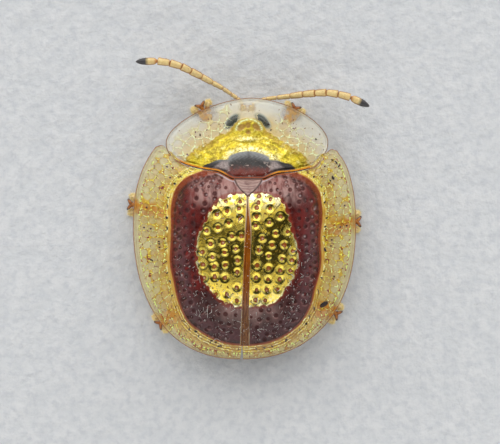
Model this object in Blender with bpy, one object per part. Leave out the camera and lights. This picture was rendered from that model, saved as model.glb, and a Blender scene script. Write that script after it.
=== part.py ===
"""Gold-spotted tortoise beetle (Aspidimorpha), life size, standing still.

Units are metres in the finished objects and millimetres while the shapes are
worked out.  +Z is up, the floor is z = 0, the head points along -Y and the
beetle's left side is +X.
"""

import math

import bmesh
import bpy
from mathutils import Matrix, Vector
from mathutils.geometry import delaunay_2d_cdt

MM = 0.001
GAP = 0.3                    # between neighbouring pieces
SMALL_GAP = 0.2              # round the smallest pieces

# elytra: outer edge of the brim, seen from above
BRIM_Y = 0.67                # widest point
BRIM_HALF = 5.11
BRIM_FRONT = 5.36
BRIM_REAR = 6.23
BRIM_POWER = 2.3
BRIM_EDGE_Z = 1.27
BEAD_AT = 0.86               # groove inside the edge bead, as a share of the brim
BEAD_DEPTH = 0.06
SHELL_THICK = 0.5
SHELL_EDGE = 0.4

# elytra: the raised disc inside the brim
DISC_Y = 1.5
DISC_HALF = 3.42
DISC_FRONT = 3.33
DISC_REAR = 4.74
DISC_FRONT_POWER = 3.6
DISC_REAR_POWER = 2.35
DISC_RIM_Z = 2.0
DISC_RISE = 2.5
DISC_PROFILE = 2.6
DISC_BASE_PROFILE = 3.2
DISC_CROWN_FRONT = 3.7       # the crown falls towards the base over this length

# punctures of the disc, in rows beside the suture
ROW_OFFSETS = (0.45, 0.96, 1.46, 1.95, 2.42, 2.84)
ROW_STEP = 0.5
PIT_RADIUS = 0.17
PIT_DEPTH = 0.13
PIT_SIDES = 6

# pronotum
SHIELD_HALF = 3.72
SHIELD_Y = -3.08
SHIELD_FRONT = 2.0
SHIELD_REAR = 1.34
SHIELD_LOBE = 0.4
SHIELD_THICK = 0.45
SHIELD_DOME = (2.3, -1.15, 2.05, 2.0)     # half-width, middle, length, rise

# body under the shells
BELLY_Z = 1.32
THORAX_FRONT = -3.0
THORAX_REAR = 1.35
ABDOMEN_REAR = 5.45
BODY_HALF = 2.75

# midline: it leans a little and bends with it the pieces along it
AXIS_X = -0.13
AXIS_SLOPE = 0.0375


def clear_scene():
    for ob in list(bpy.data.objects):
        bpy.data.objects.remove(ob, do_unlink=True)


def make_material(name, rgb, rough, metal=0.0):
    mat = bpy.data.materials.new(name)
    mat.use_nodes = True
    bsdf = mat.node_tree.nodes["Principled BSDF"]
    bsdf.inputs["Base Color"].default_value = (*rgb, 1.0)
    bsdf.inputs["Roughness"].default_value = rough
    bsdf.inputs["Metallic"].default_value = metal
    mat.diffuse_color = (*rgb, 1.0)
    return mat


def smooth(a, b, v):
    t = min(1.0, max(0.0, (v - a) / (b - a)))
    return t * t * (3.0 - 2.0 * t)


def arch(v, power):
    """One minus v to a power, rooted: a superellipse's height."""
    return max(0.0, 1.0 - abs(v) ** power) ** (1.0 / power)


def lean(x, y):
    """Sideways shift of the midline, fading out towards the brim."""
    fade = max(0.0, 1.0 - (abs(x) / BRIM_HALF) ** 2)
    return (AXIS_X + AXIS_SLOPE * y) * fade


def brim_half(y):
    reach = BRIM_REAR if y > BRIM_Y else BRIM_FRONT
    return BRIM_HALF * arch((y - BRIM_Y) / reach, BRIM_POWER)


def brim_gauge(x, y):
    """0 at the middle of the beetle and 1 on the brim's outer edge."""
    reach = BRIM_REAR if y > BRIM_Y else BRIM_FRONT
    u = abs(x) / BRIM_HALF
    v = abs(y - BRIM_Y) / reach
    return (u ** BRIM_POWER + v ** BRIM_POWER) ** (1.0 / BRIM_POWER)


def disc_gauge(x, y):
    """0 at the top of the disc and 1 on its rim."""
    rear = y > DISC_Y
    reach = DISC_REAR if rear else DISC_FRONT
    power = DISC_REAR_POWER if rear else DISC_FRONT_POWER
    u = abs(x) / DISC_HALF
    v = abs(y - DISC_Y) / reach
    return (u ** power + v ** power) ** (1.0 / power)


def crown(x, y):
    """Height of the disc, and of its rim where the gauge is 1."""
    if y > DISC_Y:
        return DISC_RIM_Z + DISC_RISE * (1.0 - disc_gauge(x, y) ** DISC_PROFILE)
    u = abs(x) / DISC_HALF
    v = (DISC_Y - y) / DISC_CROWN_FRONT
    r = (u ** DISC_FRONT_POWER + v ** DISC_FRONT_POWER) ** (1.0 / DISC_FRONT_POWER)
    power = DISC_PROFILE + (DISC_BASE_PROFILE - DISC_PROFILE) * smooth(0.0, 2.6, DISC_Y - y)
    return DISC_RIM_Z + DISC_RISE * (1.0 - r ** power)


def shell_top(x, y):
    """Height of the elytra's outer face."""
    r = disc_gauge(x, y)
    if r <= 1.0:
        return crown(x, y)
    rim = (x / r, DISC_Y + (y - DISC_Y) / r)
    inner = brim_gauge(*rim)
    t = (brim_gauge(x, y) - inner) / max(1.0 - inner, 0.02)
    t = min(1.0, max(0.0, t))
    rim_z = crown(*rim)
    groove = BEAD_DEPTH * math.exp(-((t - BEAD_AT) / 0.07) ** 2)
    return rim_z + (BRIM_EDGE_Z - rim_z) * (1.6 * t - 0.6 * t * t) - groove


def shield_rear(x):
    """Where the pronotum's rear edge meets the elytra."""
    lobe = SHIELD_LOBE * (1.0 - smooth(0.62, 1.5, abs(x)))
    return SHIELD_Y + SHIELD_REAR * arch(x / SHIELD_HALF, 2.6) + lobe


def rear_edge(x, offset):
    """The same line moved back by offset, or forward where it is negative."""
    d = 0.02
    run = min(2.5, abs(shield_rear(x + d) - shield_rear(x - d)) / (2 * d))
    return shield_rear(x) + offset * math.sqrt(1.0 + run * run)


def shield_front(x):
    return SHIELD_Y - SHIELD_FRONT * arch(x / SHIELD_HALF, 1.65)


def shield_top(x, y):
    """Height of the pronotum's outer face."""
    ahead = smooth(-2.2, -5.0, y)
    edge = 1.35 + 0.5 * ahead * (1.0 - min(1.0, (abs(x) / SHIELD_HALF) ** 2))
    dome = math.exp(-(x / SHIELD_DOME[0]) ** 2 - ((y - SHIELD_DOME[1]) / SHIELD_DOME[2]) ** 2)
    return edge + SHIELD_DOME[3] * dome


def slope(top, x, y):
    d = 0.02
    gx = (top(x + d, y) - top(x - d, y)) / (2 * d)
    gy = (top(x, y + d) - top(x, y - d)) / (2 * d)
    return math.sqrt(gx * gx + gy * gy)


def underside(top, x, y, thick):
    return top(x, y) - thick * min(1.7, math.sqrt(1.0 + slope(top, x, y) ** 2))


def shell_under(x, y):
    edge = smooth(0.8, 1.0, brim_gauge(x, y))
    thick = SHELL_THICK + (SHELL_EDGE - SHELL_THICK) * edge
    return underside(shell_top, x, y, thick)


def shield_under(x, y):
    return underside(shield_top, x, y, SHIELD_THICK)


def roof(x, y):
    """A gap below whatever covers the body at this place."""
    seam = shield_rear(min(abs(x), 3.6))
    ahead = underside(shield_top, x, min(y, seam - 0.1), SHIELD_THICK + GAP)
    behind = underside(shell_top, x, max(y, seam + 0.1), SHELL_THICK + GAP)
    if y < seam - 0.6:
        return ahead
    if y > seam + 0.6:
        return behind
    return min(ahead, behind)


def belly(x, y):
    groove = 0.0
    for i in range(4):
        groove += 0.09 * math.exp(-((y - 2.45 - 0.78 * i) / 0.12) ** 2)
    chin = 0.42 * smooth(-2.85, THORAX_FRONT + 0.02, y)
    return BELLY_Z + 0.1 * (abs(x) / BODY_HALF) ** 2 + groove - chin


# ---------------------------------------------------------------- meshes

def triangulate_plan(outline, inner, creases):
    """Triangles inside an outline, with loose points and crease lines."""
    coords = [Vector(p) for p in outline] + [Vector(p) for p in inner]
    edges = []
    for line in creases:
        start = len(coords)
        coords += [Vector(p) for p in line]
        edges += [(start + i, start + i + 1) for i in range(len(line) - 1)]
    face = [list(range(len(outline)))]
    verts, _, faces, source, _, _ = delaunay_2d_cdt(coords, edges, face, 1, 1e-5)
    rim = {}
    for index, ids in enumerate(source):
        for i in ids:
            if i < len(outline):
                rim[i] = index
    tris = []
    for f in faces:
        for k in range(1, len(f) - 1):
            a, b, c = (verts[f[0]], verts[f[k]], verts[f[k + 1]])
            area = (b - a).cross(c - a)
            if abs(area) < 1e-7:
                continue
            tri = (f[0], f[k], f[k + 1])
            tris.append(tri if area > 0 else tri[::-1])
    return [(v.x, v.y) for v in verts], tris, rim


def slab(outline, top_plan, under_plan, top, under):
    """A closed solid between two height functions over one outline."""
    pts_a, tris_a, rim_a = triangulate_plan(outline, *top_plan)
    pts_b, tris_b, rim_b = triangulate_plan(outline, *under_plan)
    verts = [(x, y, top(x, y)) for x, y in pts_a]
    base = len(verts)
    verts += [(x, y, under(x, y)) for x, y in pts_b]
    faces = list(tris_a)
    faces += [(c + base, b + base, a + base) for a, b, c in tris_b]
    count = len(outline)
    for i in range(count):
        j = (i + 1) % count
        a, b = rim_a[i], rim_a[j]
        c, d = rim_b[j] + base, rim_b[i] + base
        faces.append((a, d, c))
        faces.append((a, c, b))
    return verts, faces


def bmesh_from(verts, faces):
    bm = bmesh.new()
    made = [bm.verts.new(v) for v in verts]
    for f in faces:
        bm.faces.new([made[i] for i in f])
    bmesh.ops.recalc_face_normals(bm, faces=bm.faces)
    return bm


def keep_largest(bm):
    """Leaves only the largest closed surface."""
    left = set(bm.faces)
    groups = []
    while left:
        stack = [left.pop()]
        group = list(stack)
        while stack:
            for edge in stack.pop().edges:
                for face in edge.link_faces:
                    if face in left:
                        left.remove(face)
                        stack.append(face)
                        group.append(face)
        groups.append(group)
    groups.sort(key=lambda g: sum(f.calc_area() for f in g))
    drop = [f for g in groups[:-1] for f in g]
    if drop:
        bmesh.ops.delete(bm, geom=drop, context="FACES")


def finish_object(name, bm, mat, parent, origin=(0.0, 0.0, 0.0)):
    """Turns a millimetre mesh into a named object, placed at its origin."""
    bmesh.ops.triangulate(bm, faces=bm.faces)
    bmesh.ops.translate(bm, vec=-Vector(origin), verts=bm.verts)
    bmesh.ops.scale(bm, vec=(MM, MM, MM), verts=bm.verts)
    if bm.calc_volume(signed=True) < 0.0:
        bmesh.ops.reverse_faces(bm, faces=bm.faces)
    mesh = bpy.data.meshes.new(name)
    bm.to_mesh(mesh)
    bm.free()
    mesh.materials.append(mat)
    ob = bpy.data.objects.new(name, mesh)
    bpy.context.scene.collection.objects.link(ob)
    ob.parent = parent
    ob.location = Vector(origin) * MM
    return ob


def ellipsoid(centre, half, turn=None, level=2):
    bm = bmesh.new()
    bmesh.ops.create_icosphere(bm, subdivisions=level, radius=1.0)
    bmesh.ops.scale(bm, vec=half, verts=bm.verts)
    if turn is not None:
        bmesh.ops.transform(bm, matrix=turn.to_4x4(), verts=bm.verts)
    bmesh.ops.translate(bm, vec=centre, verts=bm.verts)
    return bm


def tube(path, radii, sides=8, flat=1.0):
    """A closed tube along a path, its section flattened upright by flat."""
    bm = bmesh.new()
    rings = []
    pts = [Vector(p) for p in path]
    for i, p in enumerate(pts):
        ahead = pts[min(i + 1, len(pts) - 1)] - pts[max(i - 1, 0)]
        ahead.normalize()
        side = ahead.cross(Vector((0, 0, 1))).normalized()
        up = side.cross(ahead).normalized()
        ring = []
        for k in range(sides):
            a = 2 * math.pi * k / sides
            off = side * math.cos(a) + up * math.sin(a) * flat
            ring.append(bm.verts.new(p + off * radii[i]))
        rings.append(ring)
    for lower, upper in zip(rings, rings[1:]):
        for k in range(sides):
            j = (k + 1) % sides
            bm.faces.new((lower[k], lower[j], upper[j], upper[k]))
    bm.faces.new(rings[0][::-1])
    bm.faces.new(rings[-1])
    bmesh.ops.recalc_face_normals(bm, faces=bm.faces)
    return bm


def plain_object(bm, name):
    bmesh.ops.triangulate(bm, faces=bm.faces)
    mesh = bpy.data.meshes.new(name)
    bm.to_mesh(mesh)
    bm.free()
    return bpy.data.objects.new(name, mesh)


def combine(pieces, cutters=()):
    """Fuses closed pieces by one union, then takes the cutters away."""
    base = plain_object(pieces[0], "fuse_base")
    bpy.context.scene.collection.objects.link(base)
    groups = []
    for kind, shapes in (("UNION", pieces[1:]), ("DIFFERENCE", cutters)):
        if not shapes:
            continue
        group = bpy.data.collections.new("fuse_" + kind.lower())
        bpy.context.scene.collection.children.link(group)
        for i, shape in enumerate(shapes):
            ob = plain_object(shape, "fuse_piece_%d" % i)
            ob.hide_render = True
            ob.display_type = "WIRE"
            group.objects.link(ob)
        mod = base.modifiers.new(kind.lower(), "BOOLEAN")
        mod.operand_type = "COLLECTION"
        mod.collection = group
        mod.operation = kind
        mod.solver = "EXACT"
        groups.append(group)
    depsgraph = bpy.context.evaluated_depsgraph_get()
    bm = bmesh.new()
    bm.from_object(base, depsgraph)
    for group in groups:
        for ob in list(group.objects):
            bpy.data.objects.remove(ob, do_unlink=True)
        bpy.data.collections.remove(group)
    bpy.data.objects.remove(base, do_unlink=True)
    keep_largest(bm)
    return bm


def lean_mesh(bm):
    for v in bm.verts:
        v.co.x += lean(v.co.x, v.co.y)


# ---------------------------------------------------------------- elytra

def spaced(start, stop, count):
    return [start + (stop - start) * i / (count - 1) for i in range(count)]


def elytron_outline(side):
    """Outline of one elytron from above, its suture edge half a gap off."""
    half = GAP / 2
    pts = []
    for i, y in enumerate(spaced(-0.42, BRIM_Y + BRIM_REAR - 0.1, 13)):
        pts.append((half + 0.012 * math.sin(math.pi * i / 12), y))
    for i in range(1, 27):
        a = math.pi / 2 * (1.0 - i / 27.0)
        x = BRIM_HALF * math.cos(a) ** (2 / BRIM_POWER)
        y = BRIM_Y + BRIM_REAR * math.sin(a) ** (2 / BRIM_POWER)
        if x > half + 0.12:
            pts.append((x, y))
    pts += [(brim_half(y), y) for y in spaced(BRIM_Y, -2.62, 9)]
    pts += [(4.11, -2.83), (3.93, -2.84), (3.78, -2.72)]
    pts += [(x, rear_edge(x, half)) for x in (3.5, 3.25, 2.95, 2.6, 2.2, 1.8, 1.4, 1.05)]
    pts += [(0.78, -1.19), (0.62, -1.02)]
    return [(side * x, y) for x, y in pts][::side]


def rim_line(scale, count):
    """Points along the disc's rim, from the shoulder round to the tail."""
    line = []
    for i in range(count):
        a = -1.02 + (math.pi / 2 - 0.03 + 1.02) * i / (count - 1)
        rear = a > 0.0
        reach = DISC_REAR if rear else DISC_FRONT
        power = DISC_REAR_POWER if rear else DISC_FRONT_POWER
        x = DISC_HALF * math.cos(a) ** (2 / power)
        y = DISC_Y + reach * math.copysign(abs(math.sin(a)) ** (2 / power), a)
        line.append((x * scale, DISC_Y + (y - DISC_Y) * scale))
    return line


def brim_line(t, count):
    """Points part of the way from the disc's rim to the outer edge."""
    line = []
    for x, y in rim_line(1.0, count):
        g = brim_gauge(x, y)
        k = 1.0 + (1.0 / g - 1.0) * t
        line.append((x * k, BRIM_Y + (y - BRIM_Y) * k))
    return line


def inside_outline(line):
    """Leaves the points of a crease that are well inside the elytron."""
    return [(x, y) for x, y in line if x > 0.4 and y > shield_rear(min(x, 3.6)) + 0.42]


def pit_centres():
    """Puncture places on one disc, row by row, with staggered starts."""
    centres = []
    for row, offset in enumerate(ROW_OFFSETS):
        count = int(8.0 / ROW_STEP)
        for i in range(count):
            y = -1.0 + ROW_STEP * (i + 0.5 * (row % 2))
            x = offset * (1.0 - 0.05 * math.cos(y))
            spread = 1.0 + 0.03 * math.sin(7.0 * i + 3.0 * row)
            x *= spread
            inside = disc_gauge(x, y) < 0.9 and y > shield_rear(x) + 0.55
            clear = x + max(0.0, y + 1.3) > 0.95
            if inside and clear:
                centres.append((x, y))
    return centres


def shell_points(step, pits, reach):
    """Grid points inside the disc that keep clear of the pits."""
    pts = []
    rows = int(9.0 / step)
    for j in range(rows):
        y = -1.2 + step * j
        for i in range(int(3.6 / step)):
            x = 0.15 + step * (i + 0.5 + 0.25 * (j % 2))
            if disc_gauge(x, y) > 0.94 or y < shield_rear(x) + 0.42:
                continue
            if x + 0.7 * (y + 1.3) < 0.95:
                continue
            if all((x - px) ** 2 + (y - py) ** 2 > reach ** 2 for px, py in pits):
                pts.append((x, y))
    return pts


def make_elytron(name, side, mat, parent):
    outline = elytron_outline(side)
    pits = pit_centres()
    inner = []
    for px, py in pits:
        inner.append((px, py))
        for k in range(PIT_SIDES):
            a = 2 * math.pi * k / PIT_SIDES + 0.4
            inner.append((px + PIT_RADIUS * math.cos(a), py + PIT_RADIUS * math.sin(a)))
    inner += shell_points(0.55, pits, PIT_RADIUS + 0.16)
    coarse = shell_points(0.62, [], 0.0)
    top_lines = [inside_outline(rim_line(1.0, 20)), inside_outline(brim_line(0.45, 16)),
                 inside_outline(brim_line(BEAD_AT, 22))]
    under_lines = [inside_outline(rim_line(1.0, 14))]
    flip = [(side * x, y) for x, y in inner]
    flip_coarse = [(side * x, y) for x, y in coarse]
    top_lines = [[(side * x, y) for x, y in line] for line in top_lines]
    under_lines = [[(side * x, y) for x, y in line] for line in under_lines]
    verts, faces = slab(outline, (flip, top_lines), (flip_coarse, under_lines),
                        shell_top, shell_under)
    bm = bmesh_from(verts, faces)
    for v in bm.verts:
        for px, py in pits:
            if (v.co.x - side * px) ** 2 + (v.co.y - py) ** 2 < 1e-8:
                if v.co.z > shell_top(v.co.x, v.co.y) - 0.01:
                    v.co.z -= PIT_DEPTH
    lean_mesh(bm)
    return finish_object(name, bm, mat, parent)


def make_scutellum(mat, parent):
    """Small triangle between the elytra's bases."""
    outline = [(0.0, -0.76), (0.17, -0.98), (0.36, -1.22), (0.0, -1.22), (-0.36, -1.22),
               (-0.17, -0.98)]
    plan = ([(0.0, -1.02)], [])
    verts, faces = slab(outline, plan, plan, lambda x, y: shell_top(0.0, y) + 0.04,
                        lambda x, y: shell_under(0.0, y))
    bm = bmesh_from(verts, faces)
    lean_mesh(bm)
    return finish_object("scutellum", bm, mat, parent)


# -------------------------------------------------------------- pronotum

def make_pronotum(mat, parent):
    outline = []
    reach = 0.986
    for i in range(25):
        x = -SHIELD_HALF * reach * math.cos(math.pi * i / 24)
        outline.append((x, shield_front(x)))
    for i in range(1, 24):
        x = SHIELD_HALF * reach * math.cos(math.pi * i / 24)
        outline.append((x, rear_edge(x, -GAP / 2)))
    inner = []
    for j in range(8):
        y = -4.8 + 0.45 * j
        for i in range(-8, 9):
            x = 0.42 * (i + 0.5 * (j % 2))
            if shield_front(x) + 0.25 < y < shield_rear(x) - GAP / 2 - 0.2:
                if abs(x) < 3.4:
                    inner.append((x, y))
    verts, faces = slab(outline, (inner, []), (inner, []), shield_top, shield_under)
    bm = bmesh_from(verts, faces)
    lean_mesh(bm)
    return finish_object("pronotum", bm, mat, parent)


# ------------------------------------------------------------------ body

def body_half(y):
    """Half the body's width under the shells."""
    if y < 0.8:
        return 1.12 + (BODY_HALF - 1.12) * smooth(-3.2, 0.9, y)
    return BODY_HALF * arch((y - 0.8) / (ABDOMEN_REAR - 0.8), 2.2)


def body_section(name, start, stop, mat, parent):
    outline = []
    rows = max(4, int((stop - start) / 0.42))
    ys = spaced(start, stop, rows)
    outline += [(body_half(y), y) for y in ys]
    last = body_half(stop)
    if last > 0.2:
        outline += [(last * k, stop) for k in (0.6, 0.2, -0.2, -0.6)]
    outline += [(-body_half(y), y) for y in ys[::-1] if body_half(y) > 0.05]
    first = body_half(start)
    outline += [(-first * k, start) for k in (0.6, 0.2, -0.2, -0.6)]
    inner = []
    for j in range(1, rows * 2 - 1):
        y = start + (stop - start) * j / (rows * 2 - 1)
        for k in (-0.72, -0.42, -0.14, 0.14, 0.42, 0.72):
            x = k * body_half(y)
            if body_half(y) > 0.6:
                inner.append((x, y))
    verts, faces = slab(outline, (inner[::2], []), (inner, []),
                        lambda x, y: max(belly(x, y) + 0.2, roof(x, y)), belly)
    bm = bmesh_from(verts, faces)
    lean_mesh(bm)
    return finish_object(name, bm, mat, parent)


# ------------------------------------------------------------------ head

HEAD = (-0.27, -3.95, 0.82)
EYE_OFFSET = (0.62, -0.02, 0.02)
EYE_HALF = (0.32, 0.42, 0.34)


def make_head(mat, parent):
    hx, hy, hz = HEAD
    pieces = [
        ellipsoid((hx, hy, hz), (0.74, 0.6, 0.44), level=3),
        ellipsoid((hx, hy + 0.42, hz + 0.02), (0.6, 0.3, 0.4)),
        tube([(hx, hy, hz), (hx + 0.02, THORAX_FRONT - GAP, hz + 0.12)], (0.4, 0.4), 10),
        ellipsoid((hx, hy - 0.42, hz - 0.16), (0.36, 0.26, 0.26)),
        ellipsoid((hx, hy - 0.52, hz - 0.32), (0.24, 0.2, 0.2)),
        tube([(hx + 0.2, hy - 0.45, hz - 0.25), (hx + 0.34, hy - 0.85, hz - 0.42)], (0.1, 0.07), 6),
        tube([(hx - 0.2, hy - 0.45, hz - 0.25), (hx - 0.34, hy - 0.85, hz - 0.42)], (0.1, 0.07), 6),
    ]
    cutters = []
    for side in (1, -1):
        place = eye_place(side)
        grown = [h + SMALL_GAP * 0.6 for h in EYE_HALF]
        cutters.append(ellipsoid(place, grown, level=3))
    bm = combine(pieces, cutters)
    return finish_object("head", bm, mat, parent, HEAD)


def eye_place(side):
    return (HEAD[0] + side * EYE_OFFSET[0], HEAD[1] + EYE_OFFSET[1], HEAD[2] + EYE_OFFSET[2])


def make_eye(name, side, mat, parent):
    place = eye_place(side)
    bm = ellipsoid(place, EYE_HALF, level=2)
    return finish_object(name, bm, mat, parent, place)


# -------------------------------------------------------------- antennae

LEFT_JOINTS = ((-0.02, -4.76), (0.16, -4.96), (0.35, -5.15), (0.61, -5.26), (0.98, -5.52),
               (1.48, -5.79), (1.97, -6.06), (2.47, -6.31), (2.89, -6.52), (3.42, -6.68),
               (3.98, -6.76), (4.52, -6.77), (4.98, -6.74))
RIGHT_JOINTS = ((-0.52, -4.76), (-0.72, -4.93), (-0.98, -5.05), (-1.48, -5.1), (-2.09, -5.17),
                (-2.68, -5.25), (-3.24, -5.3), (-3.76, -5.32), (-4.29, -5.25), (-4.85, -5.1),
                (-5.35, -4.94), (-5.72, -4.69))


def feeler_height(run):
    """Height along a feeler: low under the shield, then held up."""
    return 0.98 + 0.75 * smooth(0.3, 0.75, run) - 0.2 * smooth(0.8, 1.0, run)


def make_antenna(name, joints, mat, parent):
    path = []
    radii = []
    count = len(joints) - 1
    for i in range(count):
        ax, ay = joints[i]
        bx, by = joints[i + 1]
        thick = 0.18 + 0.045 * smooth(3, 7, i)
        for t, grow in ((0.04, 0.72), (0.3, 0.95), (0.75, 1.0), (0.95, 0.8)):
            run = (i + t) / count
            path.append((ax + (bx - ax) * t, ay + (by - ay) * t, feeler_height(run)))
            tip = 1.0 - 0.75 * smooth(count - 0.7, count, i + t)
            radii.append(thick * grow * tip)
    bm = tube(path, radii, 7)
    origin = (joints[0][0], joints[0][1], feeler_height(0.0))
    return finish_object(name, bm, mat, parent, origin)


# ------------------------------------------------------------------ legs

LEGS = {
    "leg_front_left": ((0.55, -2.35), (2.1, -2.45), (1.78, -3.72), (2.0, -4.72)),
    "leg_front_right": ((-0.95, -2.35), (-2.45, -2.5), (-2.05, -3.72), (-2.32, -4.64)),
    "leg_mid_left": ((0.9, -0.75), (3.0, -0.95), (4.08, -0.4), (5.22, -0.2)),
    "leg_mid_right": ((-1.1, -0.7), (-3.05, -0.45), (-4.08, 0.28), (-5.2, 0.58)),
    "leg_hind_left": ((0.7, 0.85), (2.65, 2.5), (3.12, 4.3), (3.83, 5.22)),
    "leg_hind_right": ((-0.85, 0.85), (-2.85, 2.15), (-3.45, 3.92), (-4.22, 4.82)),
}
COXA_Z = 0.72
KNEE_Z = {"front": 0.62, "mid": 0.66, "hind": 0.76}
ANKLE_Z = 0.32
SOLE_Z = 0.17
PADS = ((0.2, 0.27, 0.24, 0.0), (0.45, 0.34, 0.23, 0.0), (0.72, 0.22, 0.27, 0.16))


def between(a, b, t):
    return tuple(p + (q - p) * t for p, q in zip(a, b))


def claw(base, ahead, side, reach):
    """One curved, tapering claw that ends on the floor."""
    path = []
    radii = []
    for i in range(4):
        t = i / 3.0
        out = ahead * (0.3 * t * reach) + side * (0.17 * math.sin(1.7 * t) * reach)
        path.append(tuple(base + out + Vector((0, 0, -0.08 * t))))
        radii.append(0.085 * (1.0 - 0.75 * t))
    return tube(path, radii, 6)


def make_leg(name, mat, parent):
    hip, knee, ankle, tip = LEGS[name]
    hip = (*hip, COXA_Z)
    knee = (*knee, KNEE_Z[name.split("_")[1]])
    ankle = (*ankle, ANKLE_Z)
    tip = (*tip, SOLE_Z)
    pieces = [ellipsoid(hip, (0.34, 0.34, 0.29))]
    thigh = [between(hip, knee, t) for t in (0.0, 0.3, 0.65, 0.92, 1.03)]
    pieces.append(tube(thigh, (0.26, 0.33, 0.33, 0.27, 0.2), 9, 0.8))
    shin = [between(knee, ankle, t) for t in (-0.06, 0.25, 0.6, 1.04)]
    pieces.append(tube(shin, (0.22, 0.25, 0.26, 0.28), 8, 0.9))
    ahead = (Vector(tip) - Vector(ankle))
    length = ahead.length
    ahead = Vector((ahead.x, ahead.y, 0.0)).normalized()
    side = Vector((-ahead.y, ahead.x, 0.0))
    turn = Matrix((ahead, side, (0, 0, 1))).transposed()
    stretch = length / 1.1
    for t, wide, long, apart in PADS:
        for s in (1, -1) if apart else (0,):
            place = Vector(between(ankle, tip, t)) + side * s * apart
            place.z = SOLE_Z + 0.02
            pieces.append(ellipsoid(place, (long * stretch, wide, 0.24), turn))
    stem = [between(ankle, tip, t) for t in (0.55, 0.8, 1.0)]
    stem = [(x, y, SOLE_Z + 0.06) for x, y, z in stem]
    pieces.append(tube(stem, (0.12, 0.15, 0.14), 7))
    for s in (1, -1):
        pieces.append(claw(Vector(stem[-1]) - ahead * 0.06, ahead, side * s, 1.0))
    bm = combine(pieces)
    for v in bm.verts:
        v.co.z = max(v.co.z, 0.0)
    bmesh.ops.dissolve_degenerate(bm, dist=1e-4, edges=bm.edges)
    return finish_object(name, bm, mat, parent, hip)


def build():
    clear_scene()
    root = bpy.data.objects.new("beetle", None)
    bpy.context.scene.collection.objects.link(root)
    maroon = make_material("maroon_shell", (0.11, 0.012, 0.01), 0.22)
    clear = make_material("amber_shield", (0.6, 0.42, 0.12), 0.2)
    brown = make_material("brown_body", (0.16, 0.075, 0.03), 0.4)
    tan = make_material("tan_limb", (0.5, 0.27, 0.09), 0.4)
    dark = make_material("dark_eye", (0.03, 0.028, 0.03), 0.2)
    make_elytron("elytron_left", 1, maroon, root)
    make_elytron("elytron_right", -1, maroon, root)
    make_scutellum(maroon, root)
    make_pronotum(clear, root)
    body_section("thorax", THORAX_FRONT, THORAX_REAR, brown, root)
    body_section("abdomen", THORAX_REAR + GAP, ABDOMEN_REAR, brown, root)
    make_head(tan, root)
    make_eye("eye_left", 1, dark, root)
    make_eye("eye_right", -1, dark, root)
    make_antenna("antenna_left", LEFT_JOINTS, tan, root)
    make_antenna("antenna_right", RIGHT_JOINTS, tan, root)
    for name in LEGS:
        make_leg(name, tan, root)


build()
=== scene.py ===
import functools
import math

import bmesh
import bpy
import numpy as np
from mathutils import Matrix, Vector


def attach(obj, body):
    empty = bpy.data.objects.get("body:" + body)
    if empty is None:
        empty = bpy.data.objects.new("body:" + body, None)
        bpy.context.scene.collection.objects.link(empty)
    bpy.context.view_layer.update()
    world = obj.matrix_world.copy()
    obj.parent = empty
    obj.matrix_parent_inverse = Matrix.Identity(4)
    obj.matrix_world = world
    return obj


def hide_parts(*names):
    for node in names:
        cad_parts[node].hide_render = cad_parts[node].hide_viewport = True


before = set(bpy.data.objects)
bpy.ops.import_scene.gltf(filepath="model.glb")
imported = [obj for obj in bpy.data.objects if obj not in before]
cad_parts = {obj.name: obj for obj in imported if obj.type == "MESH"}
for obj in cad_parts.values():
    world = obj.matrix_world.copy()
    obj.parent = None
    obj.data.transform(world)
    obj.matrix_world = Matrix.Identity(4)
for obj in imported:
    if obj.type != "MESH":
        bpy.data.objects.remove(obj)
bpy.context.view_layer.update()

mm = 0.001          # shapes are worked out in millimetres, the finished meshes are in metres
rng = np.random.default_rng(11)
fullTurn = 6.28    # the reach of a random turn, in radians

# the beetle's main measures, in millimetres, the same as in the solids
beetle = {
    "brimY": 0.67, "brimHalf": 5.11, "brimFront": 5.36, "brimRear": 6.23, "brimPower": 2.3,
    "brimEdgeZ": 1.27,
    "discY": 1.5, "discHalf": 3.42, "discFront": 3.33, "discRear": 4.74,
    "discFrontPower": 3.6, "discRearPower": 2.35,
    "rimZ": 2.0, "rise": 2.5, "profile": 2.6, "baseProfile": 3.2, "crownFront": 3.7,
    "shieldHalf": 3.72, "shieldY": -3.08, "shieldFront": 2.0, "shieldRear": 1.34, "shieldLobe": 0.4,
    "shieldDome": (2.3, -1.15, 2.05, 2.0),
    "axisX": -0.13, "axisSlope": 0.0375,
}


# shapes of the two shells, as heights over the plan

def softStep(a, b, v):
    t = np.clip((v - a) / (b - a), 0.0, 1.0)
    return t * t * (3.0 - 2.0 * t)


def bell(d, width):
    return np.exp(-(d / width) ** 2)


def arch(v, power):
    return np.clip(1.0 - np.abs(v) ** power, 0.0, None) ** (1.0 / power)


def roundedLength(u, v, power):
    # 1 on the edge of a rounded rectangle or oval of half sizes 1
    return (np.abs(u) ** power + np.abs(v) ** power) ** (1.0 / power)


def leanShift(x, y):
    fade = np.clip(1.0 - (np.abs(x) / beetle["brimHalf"]) ** 2, 0.0, None)
    return (beetle["axisX"] + beetle["axisSlope"] * y) * fade


def brimGauge(x, y):
    reach = np.where(y > beetle["brimY"], beetle["brimRear"], beetle["brimFront"])
    return roundedLength(x / beetle["brimHalf"], (y - beetle["brimY"]) / reach, beetle["brimPower"])


def smoothTable(pairs):
    angles = np.arange(-90.0, 91.0)
    values = np.interp(angles, *np.array(pairs).T)
    return np.convolve(np.pad(values, 6, "edge"), np.hanning(13) / np.hanning(13).sum(), "valid")


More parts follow.
